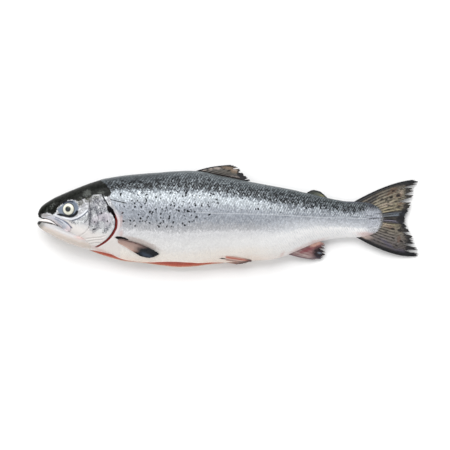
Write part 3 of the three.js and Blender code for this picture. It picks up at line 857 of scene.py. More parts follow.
        # A scale takes its whole tone from one place, so the bands meet in jagged rows of scales.
        turned = {"Vector": scales["Cell"], "Angle": math.radians(45)}
        across = w.read("VectorRotate", turned, rotation_type="Z_AXIS")
        flecks, clusters = (
            w.noise(1.0, 3.0, roughness, vector=w.read("Mapping", {"Vector": across, "Scale": stretch}))
            for stretch, roughness in (((0.5, 1.3, 1.0), 0.7), ((0.36, 0.4, 1.0), 0.75)))
        reach = w.curve(tone, self.shift) * w.span(plain, 0.0, 0.5, 0.75, 1.0)
        shifted = tone + (flecks - 0.5) * reach + (scales["Second"] - 0.5) * (reach * 0.9)
        rear = w.math("MULTIPLY", plain, 1.1, clamp=True)
        base = w.mix(rear, w.ramp(shifted, self.bands), w.ramp(shifted, self.tailward))
        back = w.highest(w.curve(shifted, self.dark_back), w.curve(shifted, self.dark_rear) * plain)
        flank = w.curve(shifted, self.dark_flank) * plain
        dark = w.highest(w.span(clusters, 0.48, 0.54) * back, w.span(clusters, 0.53, 0.59) * flank)
        base = w.mix(dark, base, self.darkest)
        rim = w.curve(shifted, self.edge_strength) * (1 - dark * 0.9)
        rim = rim * w.span(scales["Second"], 0.1, 0.9, 0.4, 1.0)
        broken = w.span(w.noise(340.0, 3.0, 0.6), 0.36, 0.58, 0.2, 1.0)
        base = w.mix(scales["Edge"] * rim * broken, base, w.ramp(shifted, self.edges))
        lean = w.curve(tone + plain * 0.035 + hatched * 0.05, self.lean_strength)
        lean = lean * w.span(hatched, 0.0, 0.45, 0.6, 1.0)
        lean = w.math("MULTIPLY", lean, 1 - dark * 0.85, clamp=True)
        stroke = w.ramp(shifted, self.strokes)
        gap = (1 - scales["Lean"]) * w.curve(tone, self.gap_strength) * w.span(plain, 0.2, 0.8, 1.0, 1.7)
        base = w.mix(gap, base, self.between_strokes)
        base = w.mix(scales["Lean"] * lean, base, stroke)
        low_cross = w.highest(w.curve(tone, self.cross_strength), hatched * 0.7)
        base = w.mix(scales["Cross"] * lean * low_cross, base, stroke)
        pale_cross = plain * w.curve(tone, self.pale_cross_strength)
        base = w.mix(scales["Cross"] * pale_cross, base, self.pale_stroke)
        # Scales differ from their neighbours by a factor: the exponential of a random number about 0.
        factor = w.math("EXPONENT", w.value("loud") * (scales["Tint"] - 0.5) * 2.8)
        base = w.vector("MINIMUM", w.vector("MULTIPLY", base, factor), paint(*self.whitest)[:3])
        root = self.root.mask(w)
        vein = w.group(fleck_group(), Stretch=(0.7, 1.0, 1.0), Grain=360.0)["Vein"]
        base = w.mix(root * self.root.strength, base, self.root.colour)
        return w.mix(root * (vein * 0.8), base, self.head_vein)

    def _head(self, w: Wiring, tone: Value) -> Value:
        """The bare head: silver plates with lilac and grey clouds.

        Args:
            w: The material's wiring.
            tone: The band coordinate.
        Returns:
            The colour.
        """
        streaks = w.group(fleck_group(), Stretch=(1.0, 0.5, 0.7), Grain=280.0)
        clouds = w.group(fleck_group(), Stretch=(1.0, 1.0, 1.0), Grain=60.0)["Fleck"]
        busy = w.curve(tone, self.plate_busy)
        plate = w.mix(streaks["Fleck"] * busy, self.head_light, self.head_dark)
        plate = w.mix(streaks["Vein"] * (busy * 0.95), plate, self.head_vein)
        return w.mix(clouds * 0.35, plate, self.head_lilac)


@dataclass(frozen=True)
class JawFinish(Finish):
    """The skin of the lower jaw and the jaw bones: cream or silver, with dark lips."""

    light: Shade = (206, 201, 198)
    dark: Shade = (184, 178, 175)
    markings: tuple[Marking, ...] = (
        Marking("under", (214, 200, 189), 0.8, 3.0, 3.0),
        Marking("blush", (204, 160, 150), 0.55, 2.6, 4.0, 180.0),
        Marking("grey", (128, 127, 124), 0.85, 2.4, 4.0),
        Marking("inside", (168, 132, 124), 0.9, 1.2, 1.0),
        Marking("ink", (24, 24, 24), 1.0, 0.8, 1.4))

    def colour(self, w: Wiring) -> tuple[Value, Value | None]:
        """Two tones clouded together under the markings."""
        clouds = w.group(fleck_group(), Stretch=(1.0, 1.0, 1.0), Grain=90.0)["Fleck"]
        return self.lay(w, w.mix(clouds * 0.5, self.light, self.dark), self.markings), None


@dataclass(frozen=True)
class FleshFinish(Finish):
    """Cut salmon flesh: a cream fatty edge, then salmon red that darkens inwards, partly as painted shade, with
    fine pale streaks.
    """

    # Inwards from the cut's edge: the darkening is partly painted shade inside the cut and partly the cavity's
    # darker lining.
    inwards: Stops = (
        (0.0, 238, 212, 196), (0.01, 230, 154, 126), (0.03, 216, 108, 80), (0.08, 200, 82, 58),
        (0.3, 170, 60, 44), (0.7, 124, 42, 36), (1.0, 92, 30, 28))
    streak: Shade = (226, 134, 106)

    def colour(self, w: Wiring) -> tuple[Value, Value | None]:
        """A ramp by distance from the cut's edge, streaked across."""
        base = w.ramp(w.value("inside") + (w.noise(260.0, 3.0, 0.6) - 0.5) * 0.05, self.inwards)
        streaks = w.group(fleck_group(), Stretch=(1.0, 0.16, 0.3), Grain=420.0)["Fleck"]
        return w.mix(streaks * 0.25, base, self.streak), streaks * 0.6


@dataclass(frozen=True)
class FinFinish(Finish):
    """Fin skin: membranes and rays coloured across the fin, dark towards its worn edge, with spots."""

    coat: float = 0.1
    specular: float = 0.16
    across: Stops = ()
    ray: Shade = (60, 56, 50)
    ray_strength: float = 0.6
    patch: Shade = (60, 60, 60)
    patch_strength: float = 0.35
    markings: tuple[Marking, ...] = ()

    def colour(self, w: Wiring) -> tuple[Value, Value | None]:
        """A ramp across the fin, patched, darker on its rays, then the markings."""
        patches = w.group(fleck_group(), Stretch=(0.5, 1.0, 1.0), Grain=190.0)["Fleck"]
        base = w.mix(patches * self.patch_strength, w.ramp(w.value("across"), self.across), self.patch)
        broken = w.span(w.noise(330.0, 3.0, 0.6), 0.32, 0.6, 0.3, self.ray_strength)
        base = w.mix(w.span(w.value("crest"), 0.25, 0.85) * broken, base, self.ray)
        return self.lay(w, base, self.markings), patches * 0.3


@dataclass(frozen=True)
class EyeFinish(Finish):
    """A clouded fish eye: blue-grey pupil, cream iris with a thin dark outline, dark rim."""

    outwards: Stops = (
        (0.0, 36, 46, 54), (0.24, 22, 30, 38), (0.35, 8, 10, 13), (0.41, 120, 122, 112),
        (0.47, 212, 211, 196), (0.72, 228, 227, 213), (0.82, 208, 207, 194), (0.87, 90, 92, 92),
        (0.93, 52, 56, 60), (1.0, 70, 76, 80))
    clouding: Shade = (160, 160, 140)

    def colour(self, w: Wiring) -> tuple[Value, Value | None]:
        """A ramp by distance from the middle with an uneven iris, clouded over."""
        base = w.ramp(w.value("radius") + (w.noise(500.0, 2.0) - 0.5) * 0.03, self.outwards)
        return w.mix(w.span(w.noise(180.0, 3.0), 0.45, 0.75, 0.0, 0.25), base, self.clouding), None


# ------------------------------------------------------------------------------------------------- head marks


@dataclass(frozen=True)
class HeadMarks:
    """Where the head's bones, seams and colour fields lie, in the drawing."""

    bare: Line = (
        (-9, 95), (104, 95), (104, 74), (110, 67), (113, 64), (118, 60), (124.5, 54.5), (129, 49),
        (131.5, 44), (131, 38), (131.5, 32), (135, 24), (141, 15), (146, 6), (149, -3), (149, -12),
        (146, -22), (141, -32), (134, -42), (125, -52), (113, -62), (104, -70), (99, -95), (-9, -95))
    crown: Line = (
        (-9, 95), (106, 95), (107, 76), (113, 68), (116, 65), (121, 61), (127, 55.5), (131, 49.5), (133, 44),
        (129.5, 37.5), (121, 36.5), (117, 39.5), (109, 41), (100, 39), (95, 34), (88, 32), (82, 31.5),
        (74, 28), (66, 30.5), (56, 30.2), (49, 26), (43, 22), (36.5, 16), (33.5, 9), (31, 4), (27, 3.4),
        (24, 6.2), (18.7, 7.6), (14.5, 6.6), (9.7, 5.4), (8, 2.2), (5, -1), (-9, -3))
    # Grey patches on the dark crown; the largest, behind the eye, is a painted highlight on the glossy crown.
    crown_grey: tuple[Oval, ...] = (
        (89.5, 42.6, 7.2, 6.2, 20), (27, 20, 5.0, 2.4, 60), (114, 44, 5.0, 2.6, 10),
        (78.7, 34.2, 1.8, 1.5, 0), (16.5, 9.5, 3.0, 1.3, 75))
    olive: tuple[Oval, ...] = ((77, 25, 8, 5.5, 10), (92, 30, 9, 4, 10), (104, 36, 9, 3.5, 5))
    muzzle: tuple[Oval, ...] = ((13, 2.4, 6.5, 2.7, -12), (24, 0.4, 9, 1.8, -28))
    lilac: tuple[Oval, ...] = ((119, 0, 9, 12, 80), (104, -6, 8, 6, 60), (127, -12, 8, 3, 60))
    cloud: tuple[Oval, ...] = (
        (102, 15, 8, 5, 10), (94, 8, 12, 3.4, 85), (97, -6, 11, 2.5, 85), (64, -9, 7, 2.4, -25),
        (106, 29, 10, 6, 0), (118, 27, 6, 5, 0), (130, -16, 6, 3, 60), (104, -22, 8, 4, 40),
        (112, 10, 10, 6, 30), (122, 12, 6, 4, 0), (124, -22, 7, 4, 60), (108, -13, 7, 4, 45),
        (119, -6, 6, 3, 70))
    # Tan over the flank above the pectoral fin: partly blush, partly painted shade along the fin.
    tan: tuple[Oval, ...] = ((186, -46.5, 33, 6, -19),)
    gill_black: Line = (
        (124.9, 19.8), (129.7, 20.6), (136.9, 13.8), (140.6, 4.2), (141, -6), (138.4, -3), (135.7, 3),
        (132.1, 7.8), (128.5, 7.4), (126.1, 12.6))
    socket: Line = (
        (35.7, 13.5), (41, 18.5), (46, 22.5), (51, 26.5), (57, 29.2), (66, 29.4), (72, 24), (74.5, 15),
        (71, 6), (60, -0.8), (48, 1.4), (40, 7))
    lid: tuple[Line, ...] = (((46.5, 24.4), (51.5, 27.4), (58, 28.6), (64, 27.2)),)
    under_eye: Line = (
        (34, 3.6), (37, 5.8), (41, 6.6), (44.5, 5.8), (48, 4.2), (53, 2.6), (60, 3.0), (66, 6.6), (70.5, 12),
        (74.4, 11.5), (72.5, 5), (66, 0.2), (57, -1.6), (44, 1.2), (36, 2.2))
    bright: tuple[Line, ...] = (
        ((30, 4.2), (39.7, 1.0), (51.7, -2.6), (61.3, -3.8), (72.1, -0.8), (82.9, 6), (90, 12.6)),)
    # Gleams: thin painted highlight lines on the silver plates, raised a little and painted with the bright
    # band.
    gleams: tuple[Line, ...] = (
        ((91.9, 27), (90.1, 9), (86.5, -5.4)), ((76.9, 14), (88.9, 19)), ((79, 20), (90, 25.5)),
        ((121.5, 36), (126, 27), (133, 15)), ((114, 30), (118, 24)))
    blue: tuple[Line, ...] = (
        ((36, -4.2), (45.7, -5.6), (54.1, -10.8), (62.5, -20)),
        ((62.5, -7), (73.3, -3.4), (82.9, 2.6), (91.3, 11)))
    preopercle: Line = ((93.7, 27), (94.5, 16), (95.1, 6.6), (93.9, -5.4), (92.8, -19.8))
    seams: tuple[Line, ...] = (
        ((96.3, 15), (96.6, 4), (96.1, -0.6), (94.6, -15)),
        ((104.5, 13.8), (108.1, 6.6), (109.9, -1.8), (108.1, -11.4)),
        ((92.5, 1.8), (90.1, -4.2), (85.3, -10.2)), ((101, 33), (108, 26), (112, 20), (122, 19)),
        ((100, -24), (108, -19), (116, -21)), ((113, 38.6), (118, 35.5), (124, 26), (127, 19)))
    branch_rays: tuple[Line, ...] = (
        ((88, -39), (100, -37.5), (112, -37), (122, -34)), ((92, -43.5), (104, -41.5), (118, -40)),
        ((94, -48), (104, -46.5), (114, -46.5)), ((92.8, -19.8), (86, -28), (76, -34)))
    nostrils: tuple[Point, ...] = ((25.4, 19.8), (29.6, 21.6))
    cover_spots: tuple[Oval, ...] = (
        (115.3, 7.0, 1.7, 1.6, 0), (103, -9, 1.7, 1.4, 20), (126.1, -7.6, 1.7, 1.3, 50),
        (101.5, -22.2, 1.2, 1.0, 0), (112, 27, 1.2, 1.0, 0), (99, -17, 1.1, 0.9, 0), (121, 30, 1.4, 1.0, 40),
        (118, -28, 1.0, 0.8, 0))
    fin_root: tuple[Oval, ...] = ((152, -38.8, 12.5, 3.4, -13), (334, -74.8, 6, 1.1, -6))
    lip: Line = ((2, 3.8), (8, -1.6), (19, -3.8), (28, -8.4), (36, -15.5))
    eye: Point = (55.8, 14.2)

    def relief(self, at: Places, share: Array) -> Array:
        """Outward relief in millimetres: grooves and ridges as bell curves across their lines.

        Args:
            at: Places of the drawing.
            share: Their heights as shares of the section.
        Returns:
            The relief.
        """
        along, height = at.along, at.height
        to_preopercle = at.from_line(self.preopercle)
        out = -0.8 * hump(to_preopercle, 1.5) + 0.4 * hump(to_preopercle - 3.2, 2.0)
        for lines, rise, width in (
                (self.seams, -0.45, 1.2), ((*self.bright, *self.gleams), 0.45, 1.8), (self.blue, -0.5, 1.1)):
            for line in lines:
                out += rise * hump(at.from_line(line), width)
        for line in self.branch_rays:
            to_ray = at.from_line(line)
            out += 0.35 * hump(to_ray - 2.2, 1.4) - 0.55 * hump(to_ray, 1.1)
        to_eye = np.hypot(along - self.eye[0], height - self.eye[1])
        out += 0.5 * hump(to_eye - 17.5, 2.5) - 2.0 * smooth_step(17.5, 12.0, to_eye)
        out += np.clip(at.in_ovals(self.fin_root), 0, 2)
        for x, y in self.nostrils:
            to_nostril = np.hypot(along - x, height - y)
            out += 0.55 * hump(to_nostril - 2.2, 0.9) - 1.5 * hump(to_nostril, 1.1)
        out += 0.7 * smooth_step(40, 26, along) * smooth_step(-0.62, -0.85, share)
        out += 0.22 * np.sin(along / 5.1 + height / 7.3) * np.sin(height / 4.7 - along / 9.1)
        return out * smooth_step(1.2, 10, along)

    def values(self, at: Places, share: Array) -> dict[str, Array]:
        """What the skin's markings read.

        Args:
            at: Places of the drawing.
            share: Their heights as shares of the section.
        Returns:
            Signed depths in millimetres by name.
        """
        ovals = ("crown_grey", "olive", "muzzle", "lilac", "cloud", "tan")
        outlines = ("crown", "socket", "under_eye")
        chin = np.where(at.along < 40, -FAR, (-0.42 + 0.1 * smooth_step(104, 84, at.along) - share) * 30)
        dots = (*self.cover_spots, *self.fin_root, *((x, y, 1.0, 0.9, 0) for x, y in self.nostrils))
        return {
            **{name: at.in_ovals(getattr(self, name)) for name in ovals},
            **{name: at.inside(getattr(self, name)) for name in outlines},
            "lid": at.in_lines(self.lid, 1.1),
            # The bright band, and the gleams' painted highlight lines.
            "bright": np.maximum(at.in_lines(self.bright, 1.3), at.in_lines(self.gleams, 0.1)),
            "blue": at.in_lines(self.blue, 0.9),
            "folds": at.in_lines(self.branch_rays, 0.4),
            "seams": np.maximum(at.in_lines(self.seams, 0.6), at.in_lines((self.preopercle,), 1.0)),
            "ink": np.maximum(at.in_ovals(dots), at.in_lines((self.lip,), 1.1)),
            "cream": np.where(at.along < 150, chin, -FAR) - FAR * smooth_step(150, 170, at.along),
        }


MARKS = HeadMarks()


# ------------------------------------------------------------------------------------------------ fish pieces


class Side(Enum):
    """The two flanks: the left one lies on top."""

    LEFT = 1
    RIGHT = -1


@dataclass
class Skin:
    """The scaled skin from snout to tail root, in a front sheet with the gill fold and a rear sheet."""

    join: float = 176.0  # the station where the two sheets meet
    left_columns: int = 196
    right_columns: int = 92
    lip_columns: int = 5
    upper_lip: float = 1.1
    lower_lip: float = 1.0
    throat_gape: float = 2.4  # how much further the upper flap is drawn back at the throat than the solid's
    throat_at: float = 136.0
    throat_spread: float = 26.0
    line_groove: float = 0.22  # depth of the lateral line
    swell: float = 0.16  # height of the slow swells over the trunk
    scale_pitch: Profile = Profile(((100, 3.9), (300, 4.0), (450, 3.8), (624, 3.2)))
    lateral_line: Line = (
        (120, 36), (134, 31), (158, 25), (200, 17), (250, 11), (316, 7), (407, 5), (500, 0), (600, -3),
        (626, -3.6))
    lateral_bold: Line = ((132, 31.5), (146, 28), (160, 25))
    root_clouds: tuple[Oval, ...] = ((566, 31, 34, 6, -5), (598, 25, 12, 5, -24))
    # The gill cover's edge turns in, runs forward under the cover, and comes back out over the shoulder:
    # [distance behind the edge where the slit is closed, the same where it is open, outward offset].
    fold: tuple[tuple[float, float, float], ...] = (
        (-14, -14, 2.1), (-8, -8.8, 2.5), (-3, -4.6, 2.75), (-1.3, -3.2, 2.7), (-0.5, -2.4, 2.3),
        (0.0, -2.0, 1.6), (0.4, -2.3, 0.8), (0.8, -3.4, 0.1), (1.2, -5.2, -0.6), (1.6, -7.5, -2.0),
        (2.0, -8.6, -3.4), (2.4, -8.0, -4.5), (2.9, -6.0, -4.9), (3.6, -3.6, -4.5), (4.4, -1.2, -3.6),
        (5.4, 0.8, -2.5), (6.6, 2.6, -1.2), (8.0, 4.2, 0.0), (10, 6.6, 0.9), (13, 10.8, 0.95),
        (18, 16.6, 0.5), (24, 24, 0))
    fold_steps: int = 4
    # Along, and the shares of the way to the belly where back, silver band (partly a painted highlight) and
    # flank end.
    drawn_bands: tuple[tuple[float, float, float, float], ...] = (
        (100, 0.15, 0.28, 0.60), (150, 0.165, 0.31, 0.62), (250, 0.195, 0.35, 0.63), (400, 0.205, 0.35, 0.61),
        (470, 0.27, 0.38, 0.58), (545, 0.31, 0.42, 0.66), (563, 0.32, 0.43, 0.68), (585, 0.29, 0.42, 0.7),
        (602, 0.25, 0.4, 0.72), (624, 0.16, 0.34, 0.8))
    band_ends: tuple[float, float, float] = (0.2, 0.36, 0.62)
    blushes: tuple[Oval, ...] = (
        (441, -67, 4, 1.8, 50), (594, -32, 18, 5, -4), (348, -73, 12, 1.6, -6), (500, -45, 16, 3, 18),
        (470, -58, 14, 2.5, 25), (151, -30, 5, 2.4, 80), (151, -5, 6, 1.3, 84), (118, -62, 20, 3, -22))
    tail_streaks: tuple[Oval, ...] = ((606, -2.6, 11, 1.5, 0), (598, 2.2, 7, 0.9, -4), (612, 6, 6, 0.9, 5))
    spot_count: int = 200
    seed: int = 20
    # By tone: how much the scales there differ from their neighbours.
    loudness: Line = (
        (0, 0.1), (0.1, 0.3), (0.16, 0.36), (0.2, 0.28), (0.26, 0.22), (0.34, 0.28), (0.5, 0.23),
        (0.62, 0.12), (0.7, 0.05), (1, 0.03))
    snout_rows: tuple[float, ...] = (1.2, 1.3, 1.5, 1.8, 2.2, 2.7, 3.3, 4.0, 4.8, 5.6, 6.4)
    tail_rows: tuple[float, ...] = (620, 621.2, 622.2, 623, 623.5, 623.8, 624.0)

    def drawn_back(self, along: Array) -> Array:
        """How far the upper flap is drawn back: the solid's amount, and a bell curve more at the throat."""
        at_throat = self.throat_gape * hump(along - self.throat_at, self.throat_spread)
        return FORM.flap_drawn_back(along) + at_throat * FORM.cut_opening(along)

    def _lattice(self, station: Array, points: Array, share: Array, side: Array) -> Array:
        """Scale coordinates: rows along by station over pitch, rows across by distance from the lateral line.

        Args:
            station: Places before bending.
            points: The sheet's points.
            share: Their heights as shares of the section.
            side: Each column's flank: 1 on the left, -1 on the right.
        Returns:
            Two coordinates for each point.
        """
        table = np.linspace(0, 640, 1281)
        rows = np.concatenate([[0], np.cumsum(0.5 / self.scale_pitch(table[:-1]))])
        steps = np.hypot(*np.moveaxis(np.diff(points[..., 1:], axis=1), 2, 0))
        around = np.concatenate([np.zeros((len(points), 1)), np.cumsum(steps, axis=1)], axis=1)
        lateral = FORM.share(points[..., 0], Profile(self.lateral_line)(points[..., 0]))
        column = np.argmin(np.abs(share - lateral) + FAR * (side <= 0)[None, :], axis=1)
        start = around[np.arange(len(points)), column]
        return stacked(np.interp(station, table, rows), (around - start[:, None]) / self.scale_pitch(station))

    def _angles(self, station: Array) -> Array:
        """The angles from the upper flap's edge over the back to the lower flap's edge, for each station.

        Args:
            station: The sections, one number a row.
        Returns:
            Angles, rows by columns: 0 at the back, above 0 on the left flank.
        """
        left = np.full(station.shape, -1.0)
        right = np.full(station.shape, -1.0)
        start, end = FORM.cut_start, FORM.cut_end
        for _ in range(6):
            along = FORM.bent(station, left)
            inside = plateau(along, (start - 1, start + 1), (end - 1, end + 1))
            drawn = (self.drawn_back(along) + self.upper_lip * FORM.cut_opening(along)) * inside
            left = -1 + 2 * drawn / (FORM.back(along) - FORM.belly(along))
            along = FORM.bent(station, right)
            wall = (FORM.cavity_half(along) * 0.75 + 2 * self.lower_lip) * FORM.cut_opening(along)
            near = np.clip(right, -0.9999, -0.9)
            full = FORM.half_thickness(along, near) / np.sqrt(1 - near**2)
            right = -np.sqrt(np.clip(1 - (wall / full) ** 2, 0, 1))
        left_angle, right_angle = (np.arccos(np.clip(edge, -1, 1))[:, None] for edge in (left, right))
        down, up = np.linspace(1, 0, self.left_columns), np.linspace(0, 1, self.right_columns)[1:]
        return np.concatenate([left_angle * down, -right_angle * up], axis=1)

    def _sheet(self, station: Array, behind: Array, offset: Array, inner: Array) -> Sheet:
        """One sheet of skin.

        Each point is an oval section's point at its angle, bent to the gill edge, with the fold's offset along
        the outward side, and with the two belly lips rolled in by part circles.

        Args:
            station: The sections as they lie where the slit is closed, one number a row.
            behind: Distance behind the gill edge where the slit is open, one number a row.
            offset: Outward offset there.
            inner: How far inside the gill slit a row is, from 0 to 1.
        Returns:
            The sheet.
        """
        angles = self._angles(station)
        share = np.cos(angles)
        open_here = FORM.gill_opening(share)
        flat = station[:, None] - FORM.gill_station
        behind_edge = flat + (behind[:, None] - flat) * open_here
        place = FORM.gill_station + behind_edge
        along = FORM.bent(place, share)
        height = FORM.height(along, share)
        side = np.sign(np.sin(angles) + 1e-12)
        lifted = offset[:, None] * open_here * np.abs(np.sin(angles))
        z = FORM.middle(along, share) + side * (FORM.half_thickness(along, share) + lifted)
        points = stacked(along, height, z)
        at, inside_slit = Places(along, height), inner[:, None] * open_here
        values = self._values(at, share, behind_edge, inside_slit)
        lattice = self._lattice(place, points, share, side[0])
        sheet = Sheet(points, stacked(0.0, share, np.sin(angles)), values, lattice)
        relief = MARKS.relief(at, share) * smooth_step(150, 135, along) * (1 - inside_slit)
        relief -= self.line_groove * hump(at.from_line(self.lateral_line), 1.0) * smooth_step(130, 150, along)
        swell = self.swell * np.sin(along / 6.3 + 2 * np.sin(height / 11)) * np.sin(height / 6.1)
        sheet.raise_by(relief + swell * plateau(along, (150, 200), (560, 600)))
        self._roll_lips(sheet)
        sheet.points[..., 2] = FORM.on_table(sheet.points[..., 2])
        return sheet

    def _roll_lips(self, sheet: Sheet) -> None:
        """Adds columns that roll the skin in at both flaps: part circles, of no size away from the cut.

        Args:
            sheet: The sheet, which grows by lip_columns at each side.
        """
        turn = np.linspace(0, 1, self.lip_columns + 1)[None, 1:]
        rolls = []
        for column, radius, angle, side in ((0, self.upper_lip, 90, -1), (-1, self.lower_lip, 180, 1)):
            along, height, z = (sheet.points[:, column, k, None] for k in range(3))
            opening = FORM.cut_opening(along) * radius
            phi = np.radians(angle) * turn
            outer = z + side * opening * (1 - np.cos(phi))
            rolls.append(stacked(along, height - opening * np.sin(phi), outer))
        sheet.grow(rolls[0][:, ::-1], rolls[1], axis=1)

    def _tone(self, along: Array, share: Array) -> Array:
        """The band coordinate: the way to the belly, warped so that each band ends at its own fixed tone.

        Args:
            along: Places along the body.
            share: Heights as shares of the section.
        Returns:
            Tones from 0 at the back to 1 at the belly.
        """
        way = (1 - share) / 2
        table = np.array(self.drawn_bands)
        ends = [np.interp(along, table[:, 0], table[:, k]) for k in (1, 2, 3)]
        knots = [np.zeros_like(way), *ends, np.ones_like(way)]
        tones = [0.0, *self.band_ends, 1.0]
        tone = np.zeros_like(way)
        for low, high, from_tone, to_tone in zip(knots, knots[1:], tones, tones[1:]):
            warped = from_tone + (to_tone - from_tone) * (way - low) / (high - low)
            tone = np.where((way >= low) & (way <= high), warped, tone)
        return tone

    @functools.cached_property
    def _spots(self) -> list[Oval]:
        """Small slanting spots: thick behind the gill cover, and only above the flank's middle further back.

        Returns:
            The spots.
        """
        random = np.random.default_rng(self.seed)
        spots: list[Oval] = []
        while len(spots) < self.spot_count:
            along, way = float(random.uniform(146, 612)), float(random.uniform(0.2, 0.64))
            lowest = float(np.interp(along, [150, 290, 330, 620], [0.62, 0.56, 0.38, 0.34]))
            likely = float(np.interp(along, [150, 185, 300, 340, 620], [0.35, 1.0, 0.8, 0.25, 0.15]))
            if way > lowest or random.random() > likely:
                continue
            height = float(FORM.height(np.array(along), np.array(1 - 2 * way)))
            half = float(random.uniform(1.0, 2.5))
            turn = float(random.choice([-1, 1]) * random.uniform(45, 80))
            spots.append((along, height, half, half * float(random.uniform(0.5, 0.75)), turn))
        return spots

    def _values(self, at: Places, share: Array, behind: Array, inner: Array) -> dict[str, Array]:
        """All that the skin's finish reads.

        Args:
            at: Places of the drawing.
            share: Their heights as shares of the section.
            behind: Distance behind the gill edge.
            inner: How far inside the gill slit, from 0 to 1.
        Returns:
            Values by name.
        """
        along, height = at.along, at.height
        values = MARKS.values(at, share)
        tone = self._tone(along, share)
        open_here = FORM.gill_opening(share)
        from_edge = along - FORM.gill_edge(share)
        shoulder = (6.6 - np.abs(from_edge - 5.0)) * np.minimum(1, 1.6 * open_here)
        shoulder -= 6 * (1 - np.minimum(1, 3 * open_here)) + 2 * smooth_step(-0.3, -0.8, share)
        deep = np.clip((inner - 0.36) * 8, -8, 5) - np.clip((height - 12) * 0.6, 0, 8)
        # A black line painted along the gill slit above height 8 and deep inside the fold: painted shade in the
        # slit.
        slit = 1.15 - np.abs(from_edge - 0.2) - 2 * smooth_step(40, 46, height)
        slit = np.maximum(slit, np.clip((inner - 0.5) * 8, -8, 3))
        near_loud = np.interp(along, [150, 270, 330, 620], [0.9, 0.9, 0.55, 0.7])
        return values | {
            "tone": tone,
            "silver": np.interp(along, [120, 380, 470, 560], [1.0, 1.0, 0.15, 0.05]),
            "hatched": np.interp(along, [200, 285, 390, 430], [0.0, 1.0, 1.0, 0.45]),
            "loud": np.interp(tone, *np.transpose(self.loudness)) * near_loud ** smooth_step(0.2, 0.34, tone),
            "scaled": -at.inside(MARKS.bare),
            "lateral": np.interp(along, [150, 600], [1.0, 0.6]) * (0.7 - at.from_line(self.lateral_line))
            - 3 * (along < 285),
            "spots": at.in_ovals(self._spots),
            "blush": at.in_ovals(self.blushes),
            "shoulder": np.where(behind < 26, shoulder, -FAR),
            "tail_root": np.minimum(along - 592, (13 - height) * 1.2),
            "tail_skin": along - 619 + 0.012 * (height + 2) ** 2 - 5 * (height < -24),
            "tail_streak": at.in_ovals(self.tail_streaks),
            "cloud": np.maximum(values["cloud"], at.in_ovals(self.root_clouds)),
            "gill_red": deep,
            # The black patch on the cover's rear margin, with the painted shade line along the slit.
            "gill_black": np.maximum(at.inside(MARKS.gill_black), np.where(height > 8, slit, -FAR)),
            "gill_shade": np.minimum(deep, -0.9 - behind),
            "ink": np.maximum(values["ink"], at.in_lines((self.lateral_bold,), 0.8)),
        }

    def front(self) -> Sheet:
        """The front sheet: snout, head, gill fold and shoulder, up to the join.

        Returns:
            The sheet, with its snout closed by one more row, all in the first ring's middle.
        """
        table = np.array(self.fold)
        steps = np.linspace(0, len(table) - 1, (len(table) - 1) * self.fold_steps + 1)
        closed, slit, outward = (Profile(tuple(enumerate(column)))(steps) for column in table.T.tolist())
        first, last = FORM.gill_station + table[0, 0], FORM.gill_station + table[-1, 0]
        before = np.concatenate([self.snout_rows, np.linspace(7.2, first, 120)[:-1]])
        after = np.linspace(last, self.join, 24)[1:]
        relief = Profile(((-80, 0), (-14, 2.1)))(before - FORM.gill_station)
        inner = plateau(steps, (4.6, 7.0), (14.6, 17.4))
        sheet = self._sheet(
            np.concatenate([before, FORM.gill_station + closed, after]),
            np.concatenate([before - FORM.gill_station, slit, after - FORM.gill_station]),
            np.concatenate([relief, outward, 0 * after]), np.concatenate([0 * before, inner, 0 * after]))
        middle = sheet.points[:1].mean(axis=1, keepdims=True) - (0.4, 0, 0)
        return sheet.grow(np.repeat(middle, sheet.points.shape[1], axis=1), sheet.points[:0])

    def rear(self) -> Sheet:
        """The rear sheet: the trunk from the join to the tail root.

        Returns:
            The sheet.
        """
        station = np.concatenate([np.linspace(self.join, 600, 290)[:-1], np.linspace(600, 620, 26)[:-1],
                                  self.tail_rows])
        return self._sheet(station, station - FORM.gill_station, 0 * station, 0 * station)

    def build(self) -> None:
        """Builds both sheets; the front one stands for the solid body."""
        finish = SkinFinish("salmon_skin", metallic=0.05, specular=0.08, coat=0.05, roughness=0.32)
        material = finish.material()
        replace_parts(self.front().build("skin_front", material, "skin"), "body")
        self.rear().build("skin_trunk", material, "skin")


